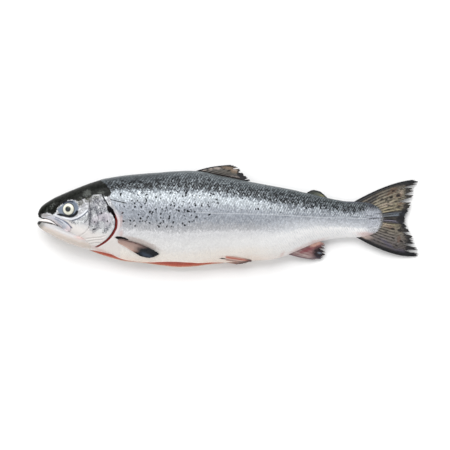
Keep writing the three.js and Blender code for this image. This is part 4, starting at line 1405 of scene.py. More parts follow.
@dataclass
class BellyCut:
    """The flesh in the belly cut: the upper flap's cut face and the walls of the emptied cavity."""

    skin: Skin
    rows: int = 200
    face_columns: int = 9
    wall_columns: int = 24

    def sheet(self) -> Sheet:
        """The lining, from under the upper lip, in along the upper wall and out along the lower one.

        The cut face falls straight from the upper lip with a slight bulge; each wall stands off the mid surface
        by half the cavity's height, and the heights along a wall are spaced by a quarter wave.

        Returns:
            The sheet.
        """
        along = np.linspace(FORM.cut_start + 0.2, FORM.cut_end - 0.2, self.rows)[:, None]
        belly, opening = FORM.belly(along), FORM.cut_opening(along)
        edge = belly + self.skin.drawn_back(along)
        depth = FORM.cavity_depth(along)
        top = FORM.flank(along, edge + self.skin.upper_lip * opening, 1) - self.skin.upper_lip * opening

        def wall(height: Array, side: int) -> Array:
            """Height of the upper (side 1) or lower (side -1) cavity wall."""
            share = np.maximum(-1, FORM.share(along, height))
            deep = np.clip((height - belly) / depth, 0, 1)
            return FORM.middle(along, share) + side * FORM.cavity_wall(along, deep)

        down = np.linspace(0, 1, self.face_columns)[None, :]
        quarter = np.linspace(0, np.pi / 2, self.wall_columns)[None, 1:]
        bottom = belly + depth
        upper_height = edge + (bottom - edge) * np.sin(quarter)
        lower_height = bottom + (self._lower_lip(along) - bottom) * (1 - np.cos(quarter))
        face_height = edge - 0.5 * opening * np.sin(np.pi * down)
        face_z = top + (wall(edge, 1) - top) * down
        height = np.concatenate([face_height, upper_height, lower_height], axis=1)
        z = np.concatenate([face_z, wall(upper_height, 1), wall(lower_height, -1)], axis=1)
        steps = np.hypot(np.diff(height, axis=1), np.diff(z, axis=1))
        run = np.concatenate([np.zeros((len(along), 1)), np.cumsum(steps, axis=1)], axis=1)
        inside = np.minimum(run, run[:, -1:] - run) / 60.0
        return Sheet(stacked(along, height, z), stacked(0.0, -1.0, 0 * z), {"inside": inside})

    def _lower_lip(self, along: Array) -> Array:
        """Where the lower flap's edge is.

        Args:
            along: Places along the body.
        Returns:
            Heights where the half thickness equals the wall's plus the lip's roll.
        """
        share = np.full(along.shape, -0.99)
        wall = (FORM.cavity_half(along) * 0.75 + 2 * self.skin.lower_lip) * FORM.cut_opening(along)
        for _ in range(5):
            full = FORM.half_thickness(along, share) / np.sqrt(1 - share**2)
            share = -np.sqrt(np.clip(1 - (wall / full) ** 2, 0, 0.99999))
        return FORM.height(along, share)

    def build(self) -> None:
        """Builds the lining, which stands for the solid one."""
        finish = FleshFinish("salmon_flesh", roughness=0.42, coat=0.55, subsurface=0.12, relief=0.3)
        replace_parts(self.sheet().build("belly_lining", finish.material(), "flesh"), "belly_flesh")


@dataclass
class LowerJaw:
    """The lower jaw, which hangs a little open: oval sections, hollowed on top between the lips."""

    top: Profile = Profile((
        (0, -11), (1.4, -8.2), (5, -6.8), (11, -7.4), (18, -8.4), (27, -10.2), (36, -14), (59, -23),
        (80, -29), (104, -43)))
    bottom: Profile = Profile((
        (0, -12.4), (1.4, -15.6), (5, -20), (11, -24.4), (18, -28.2), (36, -38.2), (59, -48.2), (80, -55),
        (92, -56.6), (104, -54)))
    half_width: Profile = Profile((
        (0, 0.8), (1.4, 4.8), (5, 7.8), (11, 10.8), (18, 13), (36, 17.6), (59, 20.6), (76, 19.6), (90, 14.6),
        (104, 6)))
    hollow: float = 3.2  # depth between the lips
    rim: float = 0.7  # height of the lip
    rows: int = 120
    around: int = 120
    blushes: tuple[Oval, ...] = ((80, -37.5, 11, 3.2, -8),)

    def half_at(self, along: Array, height: Array) -> Array:
        """Half the jaw's width at a height, from its oval section."""
        top, bottom = self.top(along), self.bottom(along)
        share = (2 * height - top - bottom) / (top - bottom)
        return self.half_width(along) * np.sqrt(np.clip(1 - share**2, 0, None))

    def build(self) -> None:
        """Builds the jaw: ovals along the head, hollowed on top, with a dark lip line and closed ends."""
        station = np.concatenate([[0, 0.15, 0.5, 0.9], np.linspace(1.4, 104, self.rows)])[:, None]
        angle = turns(self.around)
        top, bottom = self.top(station), self.bottom(station)
        height = (top + bottom) / 2 + (top - bottom) / 2 * np.cos(angle)
        z = FORM.mid(station) + self.half_width(station) * np.sin(angle)
        along, up = station + 0 * angle, np.cos(angle) + 0 * station
        points = stacked(along, height, z)
        points[..., 1] -= self.hollow * plateau(along, (3, 9), (34, 44)) * smooth_step(0.80, 0.93, up)
        rim = hump(up - 0.72, 0.12) * plateau(along, (0, 4), (36, 44))
        wrinkle = 0.18 * np.sin(along / 3.1 + 3 * np.sin(up * 4)) * smooth_step(0.4, -0.6, up)
        ends = np.repeat(points[[0, -1]].mean(axis=1, keepdims=True), self.around, axis=1)
        values = {
            "ink": (up - 0.66 + 1.05 * smooth_step(9, 1.5, along)) * 9 - 14 * smooth_step(26, 38, along),
            "inside": (up - 0.93) * 20 - FAR * (along > 44),
            "grey": smooth_step(20, 3, along) * 7 - 3 + 3 * (up - 0.1),
            "under": (-0.1 - up) * 9,
            # Grey over the jaw's top half: painted shade against the light on its rounded top.
            "upper": (up - 0.05) * 8,
            "blush": Places(along, height).in_ovals(self.blushes),
        }
        sheet = Sheet(points, stacked(0 * z, np.cos(angle), np.sin(angle)), values, ring=True)
        sheet.raise_by(self.rim * rim + wrinkle).grow(ends[:1], ends[1:])
        # The upper marking is painted shade over the jaw's top, where it catches the light.
        finish = JawFinish("jaw_skin", roughness=0.4, coat=0.3, subsurface=0.05, markings=(
            Marking("upper", (172, 173, 177), 0.75, 5.5, 3.0), *JawFinish.markings))
        sheet.build("lower_jaw", finish.material(), "skin")


@dataclass
class MouthLining:
    """The pale skin that shows in the open mouth, a long lens between the upper lip and the lower jaw."""

    jaw: LowerJaw
    top: Profile = Profile(((4, -6.4), (8, -3.6), (14, -3.2), (19, -4), (28, -8.4), (37, -15)))
    lowest: float = 2.2  # how far it reaches down into the jaw
    start: float = 4.0
    end: float = 36.0
    narrower: float = 1.2  # than the jaw, on each side
    rows: int = 60
    around: int = 40

    def build(self) -> None:
        """Builds the lens: oval sections from the lip's line down into the jaw, narrower than the jaw."""
        along = np.linspace(self.start, self.end, self.rows)[:, None]
        middle, half = (self.start + self.end) / 2, (self.end - self.start) / 2
        angle = turns(self.around)
        ends = np.sqrt(np.clip(1 - np.abs((along - middle) / half) ** 4, 0, None))
        top, bottom = self.top(along), self.jaw.top(along) - self.lowest
        height = (top + bottom) / 2 + (top - bottom) / 2 * np.cos(angle) * ends
        z = FORM.mid(along) + (self.jaw.half_width(along) - self.narrower) * np.sin(angle) * ends
        finish = JawFinish("mouth_skin", roughness=0.3, coat=0.4, light=(250, 246, 244),
                           dark=(240, 226, 222), markings=())
        sheet = Sheet(stacked(along, height, z), stacked(0 * z, np.cos(angle), np.sin(angle)), ring=True)
        sheet.build("mouth_lining", finish.material(), "skin")


@dataclass
class JawBone:
    """The jaw bone over the corner of the mouth: a thin oval plate that follows the cheek."""

    jaw: LowerJaw
    line: Line = (
        (14, -0.4), (20, -1), (28, -2.4), (34, -5), (40, -8.6), (46, -12.6), (51, -16.6), (55.5, -20.6),
        (59.5, -24.6))
    half_width: Profile = Profile(((0, 1.2), (0.3, 4.0), (0.55, 6.0), (0.8, 6.5), (1, 5.4)))
    thickness: float = 1.9
    rows: int = 90
    around: int = 40
    markings: tuple[Marking, ...] = (
        Marking("grey", (110, 120, 142), 0.7, 0.8, 2.0, 420.0, 0.4),
        Marking("blush", (224, 210, 213), 0.9, 2.5, 3.0),
        Marking("pale", (234, 226, 229), 0.9, 0.7, 1.0),
        Marking("blue", (62, 72, 102), 0.9, 0.4, 0.8, 420.0),
        Marking("rim", (120, 52, 54), 0.9, 0.4, 0.5))

    def build(self, side: Side) -> None:
        """Builds the plate on one side.

        Its centre line is smooth through the given points; across it runs an oval, which is full at the middle
        and rounds off at both ends, and it lies on whichever of cheek and jaw stands out further.

        Args:
            side: Which flank.
        """
        way, angle = np.linspace(0, 1, self.rows)[:, None], turns(self.around)
        places = np.linspace(0, 1, len(self.line)).tolist()
        centre = [Profile(tuple(zip(places, column))) for column in zip(*self.line)]
        tangent = np.stack([line(way + 0.01) - line(way - 0.01) for line in centre])
        tangent /= np.linalg.norm(tangent, axis=0)
        taper = np.sqrt(np.clip(1 - np.abs(2 * way - 1) ** 7, 0, None))
        across = self.half_width(way) * taper * np.cos(angle)
        along = centre[0](way) - tangent[1] * across
        height = centre[1](way) + tangent[0] * across
        share = np.maximum(-0.9, FORM.share(along, height))
        cheek = np.maximum(FORM.half_thickness(along, share), self.jaw.half_at(along, height))
        lift = self.thickness * taper * np.sin(angle) * (1 - 0.25 * np.cos(angle) ** 4)
        lift += 0.25 * taper * np.sin(angle) * np.sin(9 * way + 2 * np.cos(angle))
        z = FORM.mid(along) + side.value * (cheek + lift)
        edge = -np.cos(angle) + 0 * way
        crease = np.maximum(0.75 - 6 * np.abs(edge + 0.86),
                            0.6 - 7 * np.abs(edge + 0.12 + 0.5 * (way - 0.5)) - 3 * (way > 0.62))
        values = {
            "rim": (edge - 0.9) * 6 * smooth_step(0.45, 0.6, way) + smooth_step(0.94, 1.0, way) * 1.2 - 0.3,
            "blush": (way - 0.80) * 30 + 0 * edge,
            "grey": (0.2 - np.abs(-edge - 0.35)) * 5.0 - 6 * np.abs(way - 0.42),
            "blue": crease - 2 * (way < 0.3),
            "pale": (edge - 0.62) * 5 - 9 * (way > 0.66),
        }
        name = f"jaw_bone_{side.name.lower()}"
        finish = JawFinish(name, roughness=0.32, coat=0.5, metallic=0.1, light=(204, 207, 215),
                           dark=(150, 157, 170), markings=self.markings)
        outward = stacked(0.0, -edge, side.value * np.sin(angle))
        sheet = Sheet(stacked(along, height, z), outward, values, ring=True)
        sheet.build(name, finish.material(), "skin")


@dataclass
class Eye:
    """An eyeball with a domed front: a shallow pit for the pupil in a raised iris ring, closed behind."""

    radius: float = 12.0
    half_depth: float = 7.0
    stands_out: float = 2.8
    rings: int = 64
    around: int = 96

    def build(self, side: Side) -> None:
        """Builds one eye, turned outwards on its flank, in the place of the solid one.

        The ball is an ellipsoid, by angle from its front pole; bell curves raise the iris and sink the pupil.

        Args:
            side: Which flank.
        """
        def on_flank(along: float, height: float) -> Array:
            """A point of the flank."""
            return np.array([along, height, float(FORM.flank(np.array(along), np.array(height), side.value))])

        (x, y), step = MARKS.eye, 3.0
        place = on_flank(x, y)
        out = np.cross(on_flank(x + step, y) - place, on_flank(x, y + step) - place) * side.value
        out /= np.linalg.norm(out)
        right = np.cross([0, 1, 0], out)
        right /= np.linalg.norm(right)
        up = np.cross(out, right)
        polar, turn = np.linspace(0, np.pi, self.rings)[:, None], turns(self.around)
        radius = np.sin(polar) * self.radius
        front = polar < np.pi / 2
        relief = np.where(front, 0.35 * hump(radius - 7.6, 2.4) - 0.35 * hump(radius, 4.0), 0.0)
        depth = np.cos(polar) * self.half_depth + relief + 0 * turn
        centre = place + out * (self.stands_out - self.half_depth)
        points = centre + sum(length[..., None] * axis for length, axis in (
            (radius * np.cos(turn), right), (radius * np.sin(turn), up), (depth, out)))
        points[..., 2] = FORM.on_table(points[..., 2])
        value = np.where(front, radius / self.radius, 1.0) + 0 * turn
        sheet = Sheet(points, points - centre, {"radius": value}, ring=True)
        name = f"eye_{side.name.lower()}"
        finish = EyeFinish(f"{name}_ball", roughness=0.3, coat=0.4, coat_roughness=0.05, relief=0.05)
        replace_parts(sheet.build(f"{name}_ball", finish.material(), "eye"), name)


# ------------------------------------------------------------------------------------------------------- fins


@dataclass(frozen=True)
class Guides:
    """The fin's drawing: rays that others fan out between, each from its root by a bend to its tip."""

    rays: tuple[tuple[Point, Point, Point], ...]

    def moved(self, along: float, height: float) -> Guides:
        """The same drawing, shifted."""
        return Guides(tuple(tuple((x + along, y + height) for x, y in ray) for ray in self.rays))

    def point(self, across: Array, out: Array) -> list[Array]:
        """Points of the fin: bent curves (quadratic) whose three points are read across the guides.

        Args:
            across: The way across the fin, from 0 to 1.
            out: The way out along the ray, from 0 to 1.
        Returns:
            Along and height.
        """
        places = np.linspace(0, 1, len(self.rays)).tolist()
        weights = ((1 - out) ** 2, 2 * out * (1 - out), out**2)
        return [sum(weight * Profile(tuple(zip(places, [ray[k][axis] for ray in self.rays])))(across)
                    for k, weight in enumerate(weights)) for axis in (0, 1)]


@dataclass
class Fin:
    """A fin: ridged rays that branch outwards in a thin skin, worn and split at its edge."""

    name: str
    guides: Guides
    rays: int
    steps: int
    root: float
    edge: float
    surface: Callable[[Array, Array], Array]
    finish: FinFinish
    wear: float = 0.1
    # Across, depth as a share of the ray, half width across.
    splits: tuple[tuple[float, float, float], ...] = ()
    tip_start: Profile = Profile(((0, 0.85), (1, 0.85)))
    rim: float = 0.0
    patches: dict[str, tuple[Oval, ...]] = field(default_factory=dict)
    seed: int = 1
    columns_to_ray: int = 12

    def _crest(self, across: Array, out: Array) -> Array:
        """How high on a ray a point is: squared cosines across, which double in number twice on the way out.

        Args:
            across: The way across the fin.
            out: The way out along the ray.
        Returns:
            0 between rays to 1 on them.
        """
        phase = across * (self.rays - 1)
        single, double, fourfold = (
            np.cos(times * np.pi * (phase - shift)) ** 2 for times, shift in ((1, 0), (2, 0.25), (4, 0.125)))
        first, second = smooth_step(0.45, 0.7, out), 0.6 * smooth_step(0.75, 0.95, out)
        return (single * (1 - first) + double * first) * (1 - second) + fourfold * second

    def _reach(self, across: Array) -> Array:
        """How far out each column goes: less between branches by random amounts, and much less at the splits.

        Args:
            across: The way across the fin.
        Returns:
            Shares of the ray's length.
        """
        random = np.random.default_rng(self.seed)
        gaps = random.uniform(0, 1, 4 * self.rays + 2)
        phase = across * (self.rays - 1) * 4
        depth = np.interp(phase, np.arange(len(gaps)), gaps)
        reach = 1 - self.wear * (0.25 * depth + 0.75 * np.abs(np.sin(np.pi * phase)) * depth**2)
        for place, cut, half in self.splits:
            reach = reach - cut * np.clip(1 - np.abs(across - place) / half, 0, 1) ** 0.55
        return reach

    def build(self) -> None:
        """Builds the fin as one closed skin: up one face and down the other, thickest on the rays."""
        across = np.linspace(0, 1, (self.rays - 1) * self.columns_to_ray + 1)[:, None]
        out = np.linspace(0, 1, self.steps + 1)[None, :] * self._reach(across)
        along, height = self.guides.point(across, out)
        crest = self._crest(np.broadcast_to(across, out.shape), out)
        thickness = (self.root + (self.edge - self.root) * np.sqrt(out)) * (0.55 + 0.45 * crest)
        thickness = thickness * (0.35 + 0.65 * smooth_step(1.0, 0.965, out / out[:, -1:]))
        thickness = thickness * (0.5 + 0.5 * plateau(across, (0, 0.02), (0.98, 1)))
        centre = self.surface(along, height)
        slopes = [(self.surface(along + dx, height + dy) - centre) / 0.5 for dx, dy in ((0.5, 0), (0, 0.5))]
        normal = stacked(-slopes[0], -slopes[1], np.ones_like(centre))
        normal /= np.linalg.norm(normal, axis=2, keepdims=True)
        middle, half = stacked(along, height, centre), normal * thickness[..., None] / 2
        values = {
            "across": across, "crest": crest, "tip": (out - self.tip_start(across)) * 40,
            "rim": self.rim - np.minimum(across, 1 - across) * 40 if self.rim else -FAR,
            **{name: Places(along, height).in_ovals(ovals) for name, ovals in self.patches.items()}}

        def both_faces(upper: Array, lower: Array) -> Array:
            """A grid over the upper face, and on over the lower one, backwards."""
            return np.concatenate([upper, lower[:, ::-1]], axis=1)

        spread = {name: np.broadcast_to(value, out.shape) for name, value in values.items()}
        sheet = Sheet(both_faces(middle + half, middle - half), both_faces(normal, -normal),
                      {name: both_faces(value, value) for name, value in spread.items()}, ring=True)
        sheet.points[..., 2] = np.maximum(sheet.points[..., 2], 0.15)
        # The first and last rings close on the line midway between the faces.
        first, last = ((sheet.points[end] + sheet.points[end, ::-1])[None] / 2 for end in (0, -1))
        sheet.grow(first, last).build(self.name, self.finish.material(), "skin")


def median_surface(along: Array, height: Array) -> Array:
    """The mid surface that the back, tail and belly fins lie in; it waves and droops a little at the tail.

    Args:
        along: Places along the body.
        height: Heights in the drawing.
    Returns:
        Heights above the table.
    """
    share = np.where(along > 560, 0.0, np.clip(FORM.share(along, height), -1, 1))
    wave = 0.8 * np.sin(height / 9) * smooth_step(620, 670, along)
    droop = 2.6 * smooth_step(30, 75, np.abs(height)) * smooth_step(600, 680, along)
    return FORM.middle(along, share) + wave - droop


def anal_surface(along: Array, height: Array) -> Array:
    """The anal fin's surface, which hangs down outside the belly line."""
    outward = np.maximum(0, FORM.belly(along) - height)
    return FORM.middle(along, np.full(along.shape, -1.0)) - 0.35 * outward


def folded_surface(side: Side, root_at: float, stand_off: Profile) -> Callable[[Array, Array], Array]:
    """The surface of a paired fin that lies folded back along its flank.

    Args:
        side: Which flank.
        root_at: Where the fin's root is along the body.
        stand_off: How far its middle stands off the flank, by distance behind the root.
    Returns:
        The surface.
    """

    def surface(along: Array, height: Array) -> Array:
        """Height above the table."""
        z = FORM.flank(along, height, side.value) + side.value * stand_off(along - root_at)
        return np.maximum(z, 0.9)

    return surface


@dataclass
class FinSet:
    """All eight fins."""

    dorsal: Guides = Guides((
        ((266, 74), (296, 91.5), (349, 94)), ((292, 70), (322, 85), (363, 88.5)),
        ((312, 66), (338, 77), (369, 80.5)), ((334, 60), (354, 67), (377, 72)),
        ((350, 57), (366, 62), (384, 65.6))))
    adipose: Guides = Guides((
        ((478, 36), (486, 47.5), (498, 48.8)), ((486, 34), (498, 44), (508, 46.4)),
        ((494, 32), (506, 38), (516, 40.6)), ((500, 30), (512, 33), (523, 34))))
    tail: Guides = Guides((
        ((560, 22), (640, 68.5), (688, 67.5)), ((585, 18), (628, 46), (681, 53)),
        ((600, 12), (634, 27), (677, 34)), ((606, 4), (636, 10), (669, 13)),
        ((608, -3), (636, -4), (662, -4)), ((606, -9), (636, -17), (668, -21)),
        ((600, -18), (634, -34), (678, -39)), ((588, -26), (630, -50), (686, -57)),
        ((568, -33), (647, -79.5), (689, -69))))
    anal: Guides = Guides((
        ((443, -64), (470, -74), (498, -76.8)), ((458, -56), (488, -68), (514, -74)),
        ((476, -46), (500, -60), (519, -64)), ((490, -40), (506, -51), (519, -54)),
        ((500, -38), (510, -46), (518, -48))))
    pectoral: Guides = Guides((
        ((141, -38), (186, -44), (221, -67)), ((143, -41), (182, -52), (214, -71)),
        ((145, -44), (176, -58), (202, -74)), ((146, -46.5), (166, -58), (186, -71))))
    pelvic: Guides = Guides((
        ((333, -68.5), (354, -71.5), (386, -77.5)), ((332, -72), (354, -76), (387, -80)),
        ((331, -74.5), (352, -78), (380, -81.5)), ((331, -76.3), (348, -79.2), (368, -82.8))))
    right_pectoral_shift: Point = (0, -6.5)
    right_pelvic_shift: Point = (-9, -2.5)
    stand_off: Profile = Profile(((0, -1.9), (6, -0.9), (16, 0.8), (40, 1.6), (80, 1.8)))
    left_pectoral_stand_off: Profile = Profile(((0, -1.6), (5, -0.6), (14, 1.1), (40, 2.4), (80, 4)))

    def build(self) -> None:
        """Builds the fins, each with a finish of its own."""
        rim = Marking("rim", (24, 25, 28), 0.95, 0.6, 1.4)
        ink = Marking("ink", (26, 22, 20), 0.95, 0.9, 2.0, 420.0)
        self._back_fins(rim, ink)
        self._tail_fin(rim, ink)
        self._anal_fin(rim)
        self._paired_fins()

    def _back_fins(self, rim: Marking, ink: Marking) -> None:
        """Builds the dorsal and the adipose fin, with their dark rims and inky lines."""
        Fin(
            "dorsal_fin", self.dorsal, 12, 40, 4.0, 0.9, median_surface,
            FinFinish(
                "dorsal_skin",
                across=(
                    (0.0, 20, 22, 24), (0.04, 22, 24, 26), (0.13, 106, 103, 98), (0.4, 110, 105, 97),
                    (0.7, 74, 74, 74), (1.0, 30, 33, 37)),
                ray=(34, 33, 32), ray_strength=0.65, patch=(54, 52, 50), patch_strength=0.7,
                markings=(
                    # On this fin the pale marking is a painted highlight.
                    Marking("pale", (186, 173, 165), 0.8, 1.4, 5.0, 300.0, 0.5),
                    Marking("tan", (142, 120, 98), 0.7, 1.6, 6.0, 300.0, 0.6),
                    Marking("dusk", (24, 27, 31), 0.95, 2.0, 8.0, 300.0, 0.35),
                    ink, Marking("tip", (34, 34, 36), 0.9, 1.2, 6.0, 260.0, 0.3),
                    rim)),
            wear=0.07,
            splits=((0.27, 0.13, 0.035), (0.48, 0.09, 0.04), (0.66, 0.05, 0.02), (0.87, 0.15, 0.035)),
            rim=1.8, tip_start=Profile(((0, 0.8), (0.3, 0.93), (0.6, 0.8), (1, 0.7))),
            patches={
                # Pale patches: painted highlights on the dorsal fin.
                "pale": (
                    (312, 86.5, 4, 1.8, 4), (323, 87.8, 6, 2, 0), (355, 85, 4, 1.6, -20),
                    (300, 84, 4, 1.2, 8), (362, 71.6, 12, 0.9, -10)),
                "tan": ((346, 88, 14, 3.4, -10), (354, 82, 7, 3, -20)),
                "ink": (
                    (345, 83.5, 3.4, 1.6, 20), (336, 86, 2.4, 1.2, 20), (352, 87, 2, 1, 0),
                    (367, 75, 9, 2.4, -22), (302, 80.6, 19, 2.2, -11), (332, 74.8, 20, 2.2, -11),
                    (362, 68.8, 19, 2.2, -11)),
                "dusk": ((370, 71, 10, 4, -35), (372, 66.5, 12, 2, -8))},
            seed=11).build()
        Fin(
            "adipose_fin", self.adipose, 8, 26, 3.4, 1.0, median_surface,
            FinFinish(
                "adipose_skin",
                across=(
                    (0.0, 24, 26, 26), (0.25, 60, 64, 58), (0.5, 94, 98, 86), (0.75, 146, 142, 104),
                    (1.0, 52, 54, 50)),
                ray=(52, 54, 50), ray_strength=0.35, patch=(56, 60, 56), patch_strength=0.5,
                markings=(Marking("tip", (36, 38, 38), 0.95, 1.2, 3.0), rim)),
            wear=0.03, rim=3.6, tip_start=Profile(((0, 0.7), (0.7, 0.86), (1, 0.9))), seed=23).build()

    def _tail_fin(self, rim: Marking, ink: Marking) -> None:
        """Builds the tail fin, with its dark rim and inky spots."""
        Fin(
            "tail_fin", self.tail, 25, 72, 5.2, 0.9, median_surface,
            FinFinish(
                "tail_skin",
                # Across the tail: the blue-grey stops at 0.4 to 0.435 are a painted highlight between the
                # folded middle rays.
                across=(
                    (0.0, 20, 20, 22), (0.02, 38, 37, 36), (0.05, 106, 99, 88), (0.2, 150, 141, 122),
                    (0.36, 158, 148, 122), (0.378, 16, 18, 22), (0.4, 76, 85, 96), (0.435, 120, 131, 143),
                    (0.46, 38, 44, 52), (0.48, 8, 9, 12), (0.512, 12, 13, 18), (0.528, 122, 118, 134),
                    (0.55, 88, 85, 100), (0.568, 12, 12, 16), (0.59, 146, 137, 112), (0.66, 136, 128, 114),
                    (0.82, 120, 114, 110), (0.9, 104, 98, 98), (0.95, 78, 74, 78), (0.98, 34, 33, 37),
                    (1.0, 20, 21, 25)),
                ray=(34, 31, 29), ray_strength=0.9, patch=(84, 79, 72), patch_strength=0.65,
                markings=(
                    Marking("brown", (92, 62, 46), 0.6, 2.0, 9.0, 240.0, 0.6),
                    Marking("pale", (176, 160, 144), 0.55, 1.6, 8.0, 240.0, 0.8),
                    Marking("violet", (76, 73, 92), 0.6, 2.0, 8.0, 220.0, 0.5),
                    Marking("dusk", (38, 39, 42), 0.92, 2.0, 10.0, 300.0, 0.45),
                    Marking("blush", (196, 176, 168), 0.6, 3.0, 4.0),
                    ink, Marking("tip", (27, 27, 30), 0.97, 1.6, 9.0, 260.0, 0.2),
                    rim)),
            wear=0.12,
            splits=(
                (0.0, 0.05, 0.03), (0.058, 0.06, 0.012), (0.1, 0.19, 0.022), (0.19, 0.17, 0.02),
                (0.262, 0.32, 0.024), (0.31, 0.05, 0.01), (0.36, 0.06, 0.01), (0.44, 0.04, 0.012),
                (0.555, 0.05, 0.012), (0.62, 0.06, 0.01), (0.69, 0.2, 0.018), (0.76, 0.07, 0.01),
                (0.84, 0.22, 0.022), (0.925, 0.25, 0.022), (1.0, 0.04, 0.03)),
            tip_start=Profile((
                (0, 0.79), (0.1, 0.81), (0.3, 0.82), (0.4, 0.8), (0.42, 0.75), (0.5, 0.71), (0.54, 0.73),
                (0.57, 0.8), (0.62, 0.76), (0.7, 0.8), (0.88, 0.78), (1, 0.7))),
            rim=1.5,
            patches={
                "ink": (
                    (620.2, 32.3, 2.4, 1.5, 25), (628.1, 30.6, 2.6, 1.6, 22), (637.1, 35.1, 3.4, 2.2, 28),
                    (649.5, 38.5, 4.4, 2.6, 22), (651.7, 32.9, 3, 1.4, 15), (631.5, 26.1, 2.4, 1.4, 18),
                    (632.6, 20.5, 3.2, 1.3, 10), (650.6, 18.2, 4, 1.9, 6), (631.5, 13.7, 3, 1.2, 4),
                    (646, 28.4, 3, 1.5, 10), (641, 47, 3.6, 1.6, 30), (655, 50, 3.4, 1.4, 28),
                    (639.4, -21.2, 3.6, 2, -12), (652.7, -24.2, 4.8, 2.8, -10), (655.1, -43.6, 3.4, 2, -34),
                    (640, -38, 3.4, 1.3, -30), (628, -27, 3.2, 1.2, -24), (660, -14, 3, 1.4, -30),
                    (646, -51, 3.4, 1.3, -36)),
                "brown": (
                    (640, 47, 11, 4, 38), (650, 38, 8, 4, 20), (651, -40, 3.4, 8, 0), (634, -18, 8, 3, -20),
                    (655, 24, 6, 3, 10)),
                "pale": (
                    (655, 46, 4, 6, 20), (660, 20, 3, 4, 0), (663, -37, 3, 5, 20), (658, -21, 5, 2.4, -40),
                    (628, 22, 12, 3, 20), (626, -14, 12, 3, -14)),
                "violet": ((656, -62, 12, 3.6, -14), (630, -48, 14, 3.6, -38)),
                "dusk": (
                    (588, 36, 22, 6, 27), (662, 61, 20, 3.6, 14), (602, 30, 12, 5, 40), (656, -66, 20, 4, -4),
                    (662, -20, 7, 2, -45)),
                "blush": ((588, -34, 13, 5, -14),)},
            seed=5).build()

    def _anal_fin(self, rim: Marking) -> None:
        """Builds the anal fin, with its dark rim."""
        Fin(
            "anal_fin", self.anal, 10, 40, 3.2, 0.9, anal_surface,
            FinFinish(
                "anal_skin",
                across=(
                    (0.0, 92, 76, 82), (0.04, 120, 102, 106), (0.1, 184, 168, 164), (0.4, 152, 116, 116),
                    (0.7, 146, 98, 98), (1.0, 206, 168, 156)),
                ray=(110, 72, 76), ray_strength=0.5, patch=(136, 106, 106), patch_strength=0.5,
                markings=(
                    Marking("red", (132, 60, 68), 0.75, 2.0, 6.0, 260.0, 0.3),
                    Marking("pink", (222, 180, 164), 0.8, 2.0, 5.0, 260.0, 0.3),
                    Marking("dusk", (19, 21, 27), 1.0, 4.4, 6.5, 300.0, 0.15),
                    Marking("violet", (74, 70, 84), 0.6, 3.0, 6.0, 300.0, 0.4),
                    # A painted highlight in the black rear of the fin.
                    Marking("fleck", (128, 138, 150), 0.75, 1.0, 4.0, 420.0, 0.5),
                    rim)),
            wear=0.16,
            splits=(
                (0.36, 0.08, 0.025), (0.47, 0.16, 0.03), (0.6, 0.3, 0.05), (0.74, 0.3, 0.05),
                (0.88, 0.2, 0.04), (1.0, 0.12, 0.06)),
            patches={
                # The bluish-white spot is a painted highlight.
                "red": ((485, -59, 15, 3.2, 22),), "fleck": ((507.5, -64.5, 4, 1.8, -10),),
                "pink": ((500, -48, 10, 4.6, 20),), "violet": ((500, -74, 9, 3.5, 4),),
                "dusk": ((510, -65, 14, 12, -8), (517, -55, 8, 4.5, 10))},
            seed=31).build()

    def _paired_fins(self) -> None:
        """Builds the pectoral and the pelvic fins, which share a finish and a drawing by pairs."""
        pectoral_finish = FinFinish(
            "pectoral_skin",
            across=(
                (0.0, 14, 14, 16), (0.09, 20, 19, 20), (0.13, 134, 116, 110), (0.25, 164, 142, 134),
                (0.6, 190, 165, 154), (1.0, 224, 198, 186)),
            ray=(150, 120, 112), ray_strength=0.35, patch=(184, 150, 142), patch_strength=0.4,
            markings=(
                Marking("brown", (188, 122, 92), 0.7, 3.0, 5.0, 200.0),
                Marking("tip", (18, 22, 29), 1.0, 5.0, 5.0, 150.0),
                Marking("sheen", (84, 98, 120), 0.4, 3.0, 6.0, 200.0)))
        pelvic_finish = FinFinish(
            "pelvic_skin",
            across=(
                (0.0, 208, 176, 162), (0.22, 196, 98, 76), (0.42, 226, 196, 184), (0.58, 228, 208, 198),
                (0.68, 58, 48, 50), (0.76, 214, 182, 170), (1.0, 176, 138, 130)),
            ray=(124, 90, 84), ray_strength=0.4, patch=(206, 140, 122), patch_strength=0.3,
            markings=(Marking("tip", (74, 62, 64), 0.8, 3.0, 6.0),))
        tips = Profile(((0, 0.66), (0.4, 0.52), (1, 0.66)))
        pectoral_rows = {
            "rays": 12, "steps": 44, "root": 2.4, "edge": 0.8, "wear": 0.05, "tip_start": tips, "seed": 41,
            "finish": pectoral_finish,
            "patches": {"brown": ((177, -66, 10, 4, -25),), "sheen": ((196, -68, 9, 3, -22),)}}
        pelvic_rows = {
            "rays": 8, "steps": 34, "root": 2.2, "edge": 0.8, "wear": 0.1, "seed": 77,
            "finish": pelvic_finish}
        right_pectoral = self.pectoral.moved(*self.right_pectoral_shift)
        right_pelvic = self.pelvic.moved(*self.right_pelvic_shift)
        for name, guides, side, off, rows in (
                ("pectoral_fin_left", self.pectoral, Side.LEFT, self.left_pectoral_stand_off, pectoral_rows),
                ("pectoral_fin_right", right_pectoral, Side.RIGHT, self.stand_off, pectoral_rows),
                ("pelvic_fin_left", self.pelvic, Side.LEFT, self.stand_off, pelvic_rows),
                ("pelvic_fin_right", right_pelvic, Side.RIGHT, self.stand_off, pelvic_rows)):
            Fin(name, guides, surface=folded_surface(side, guides.rays[0][0][0], off), **rows).build()


# ----------------------------------------------------------------------------------------------------- studio


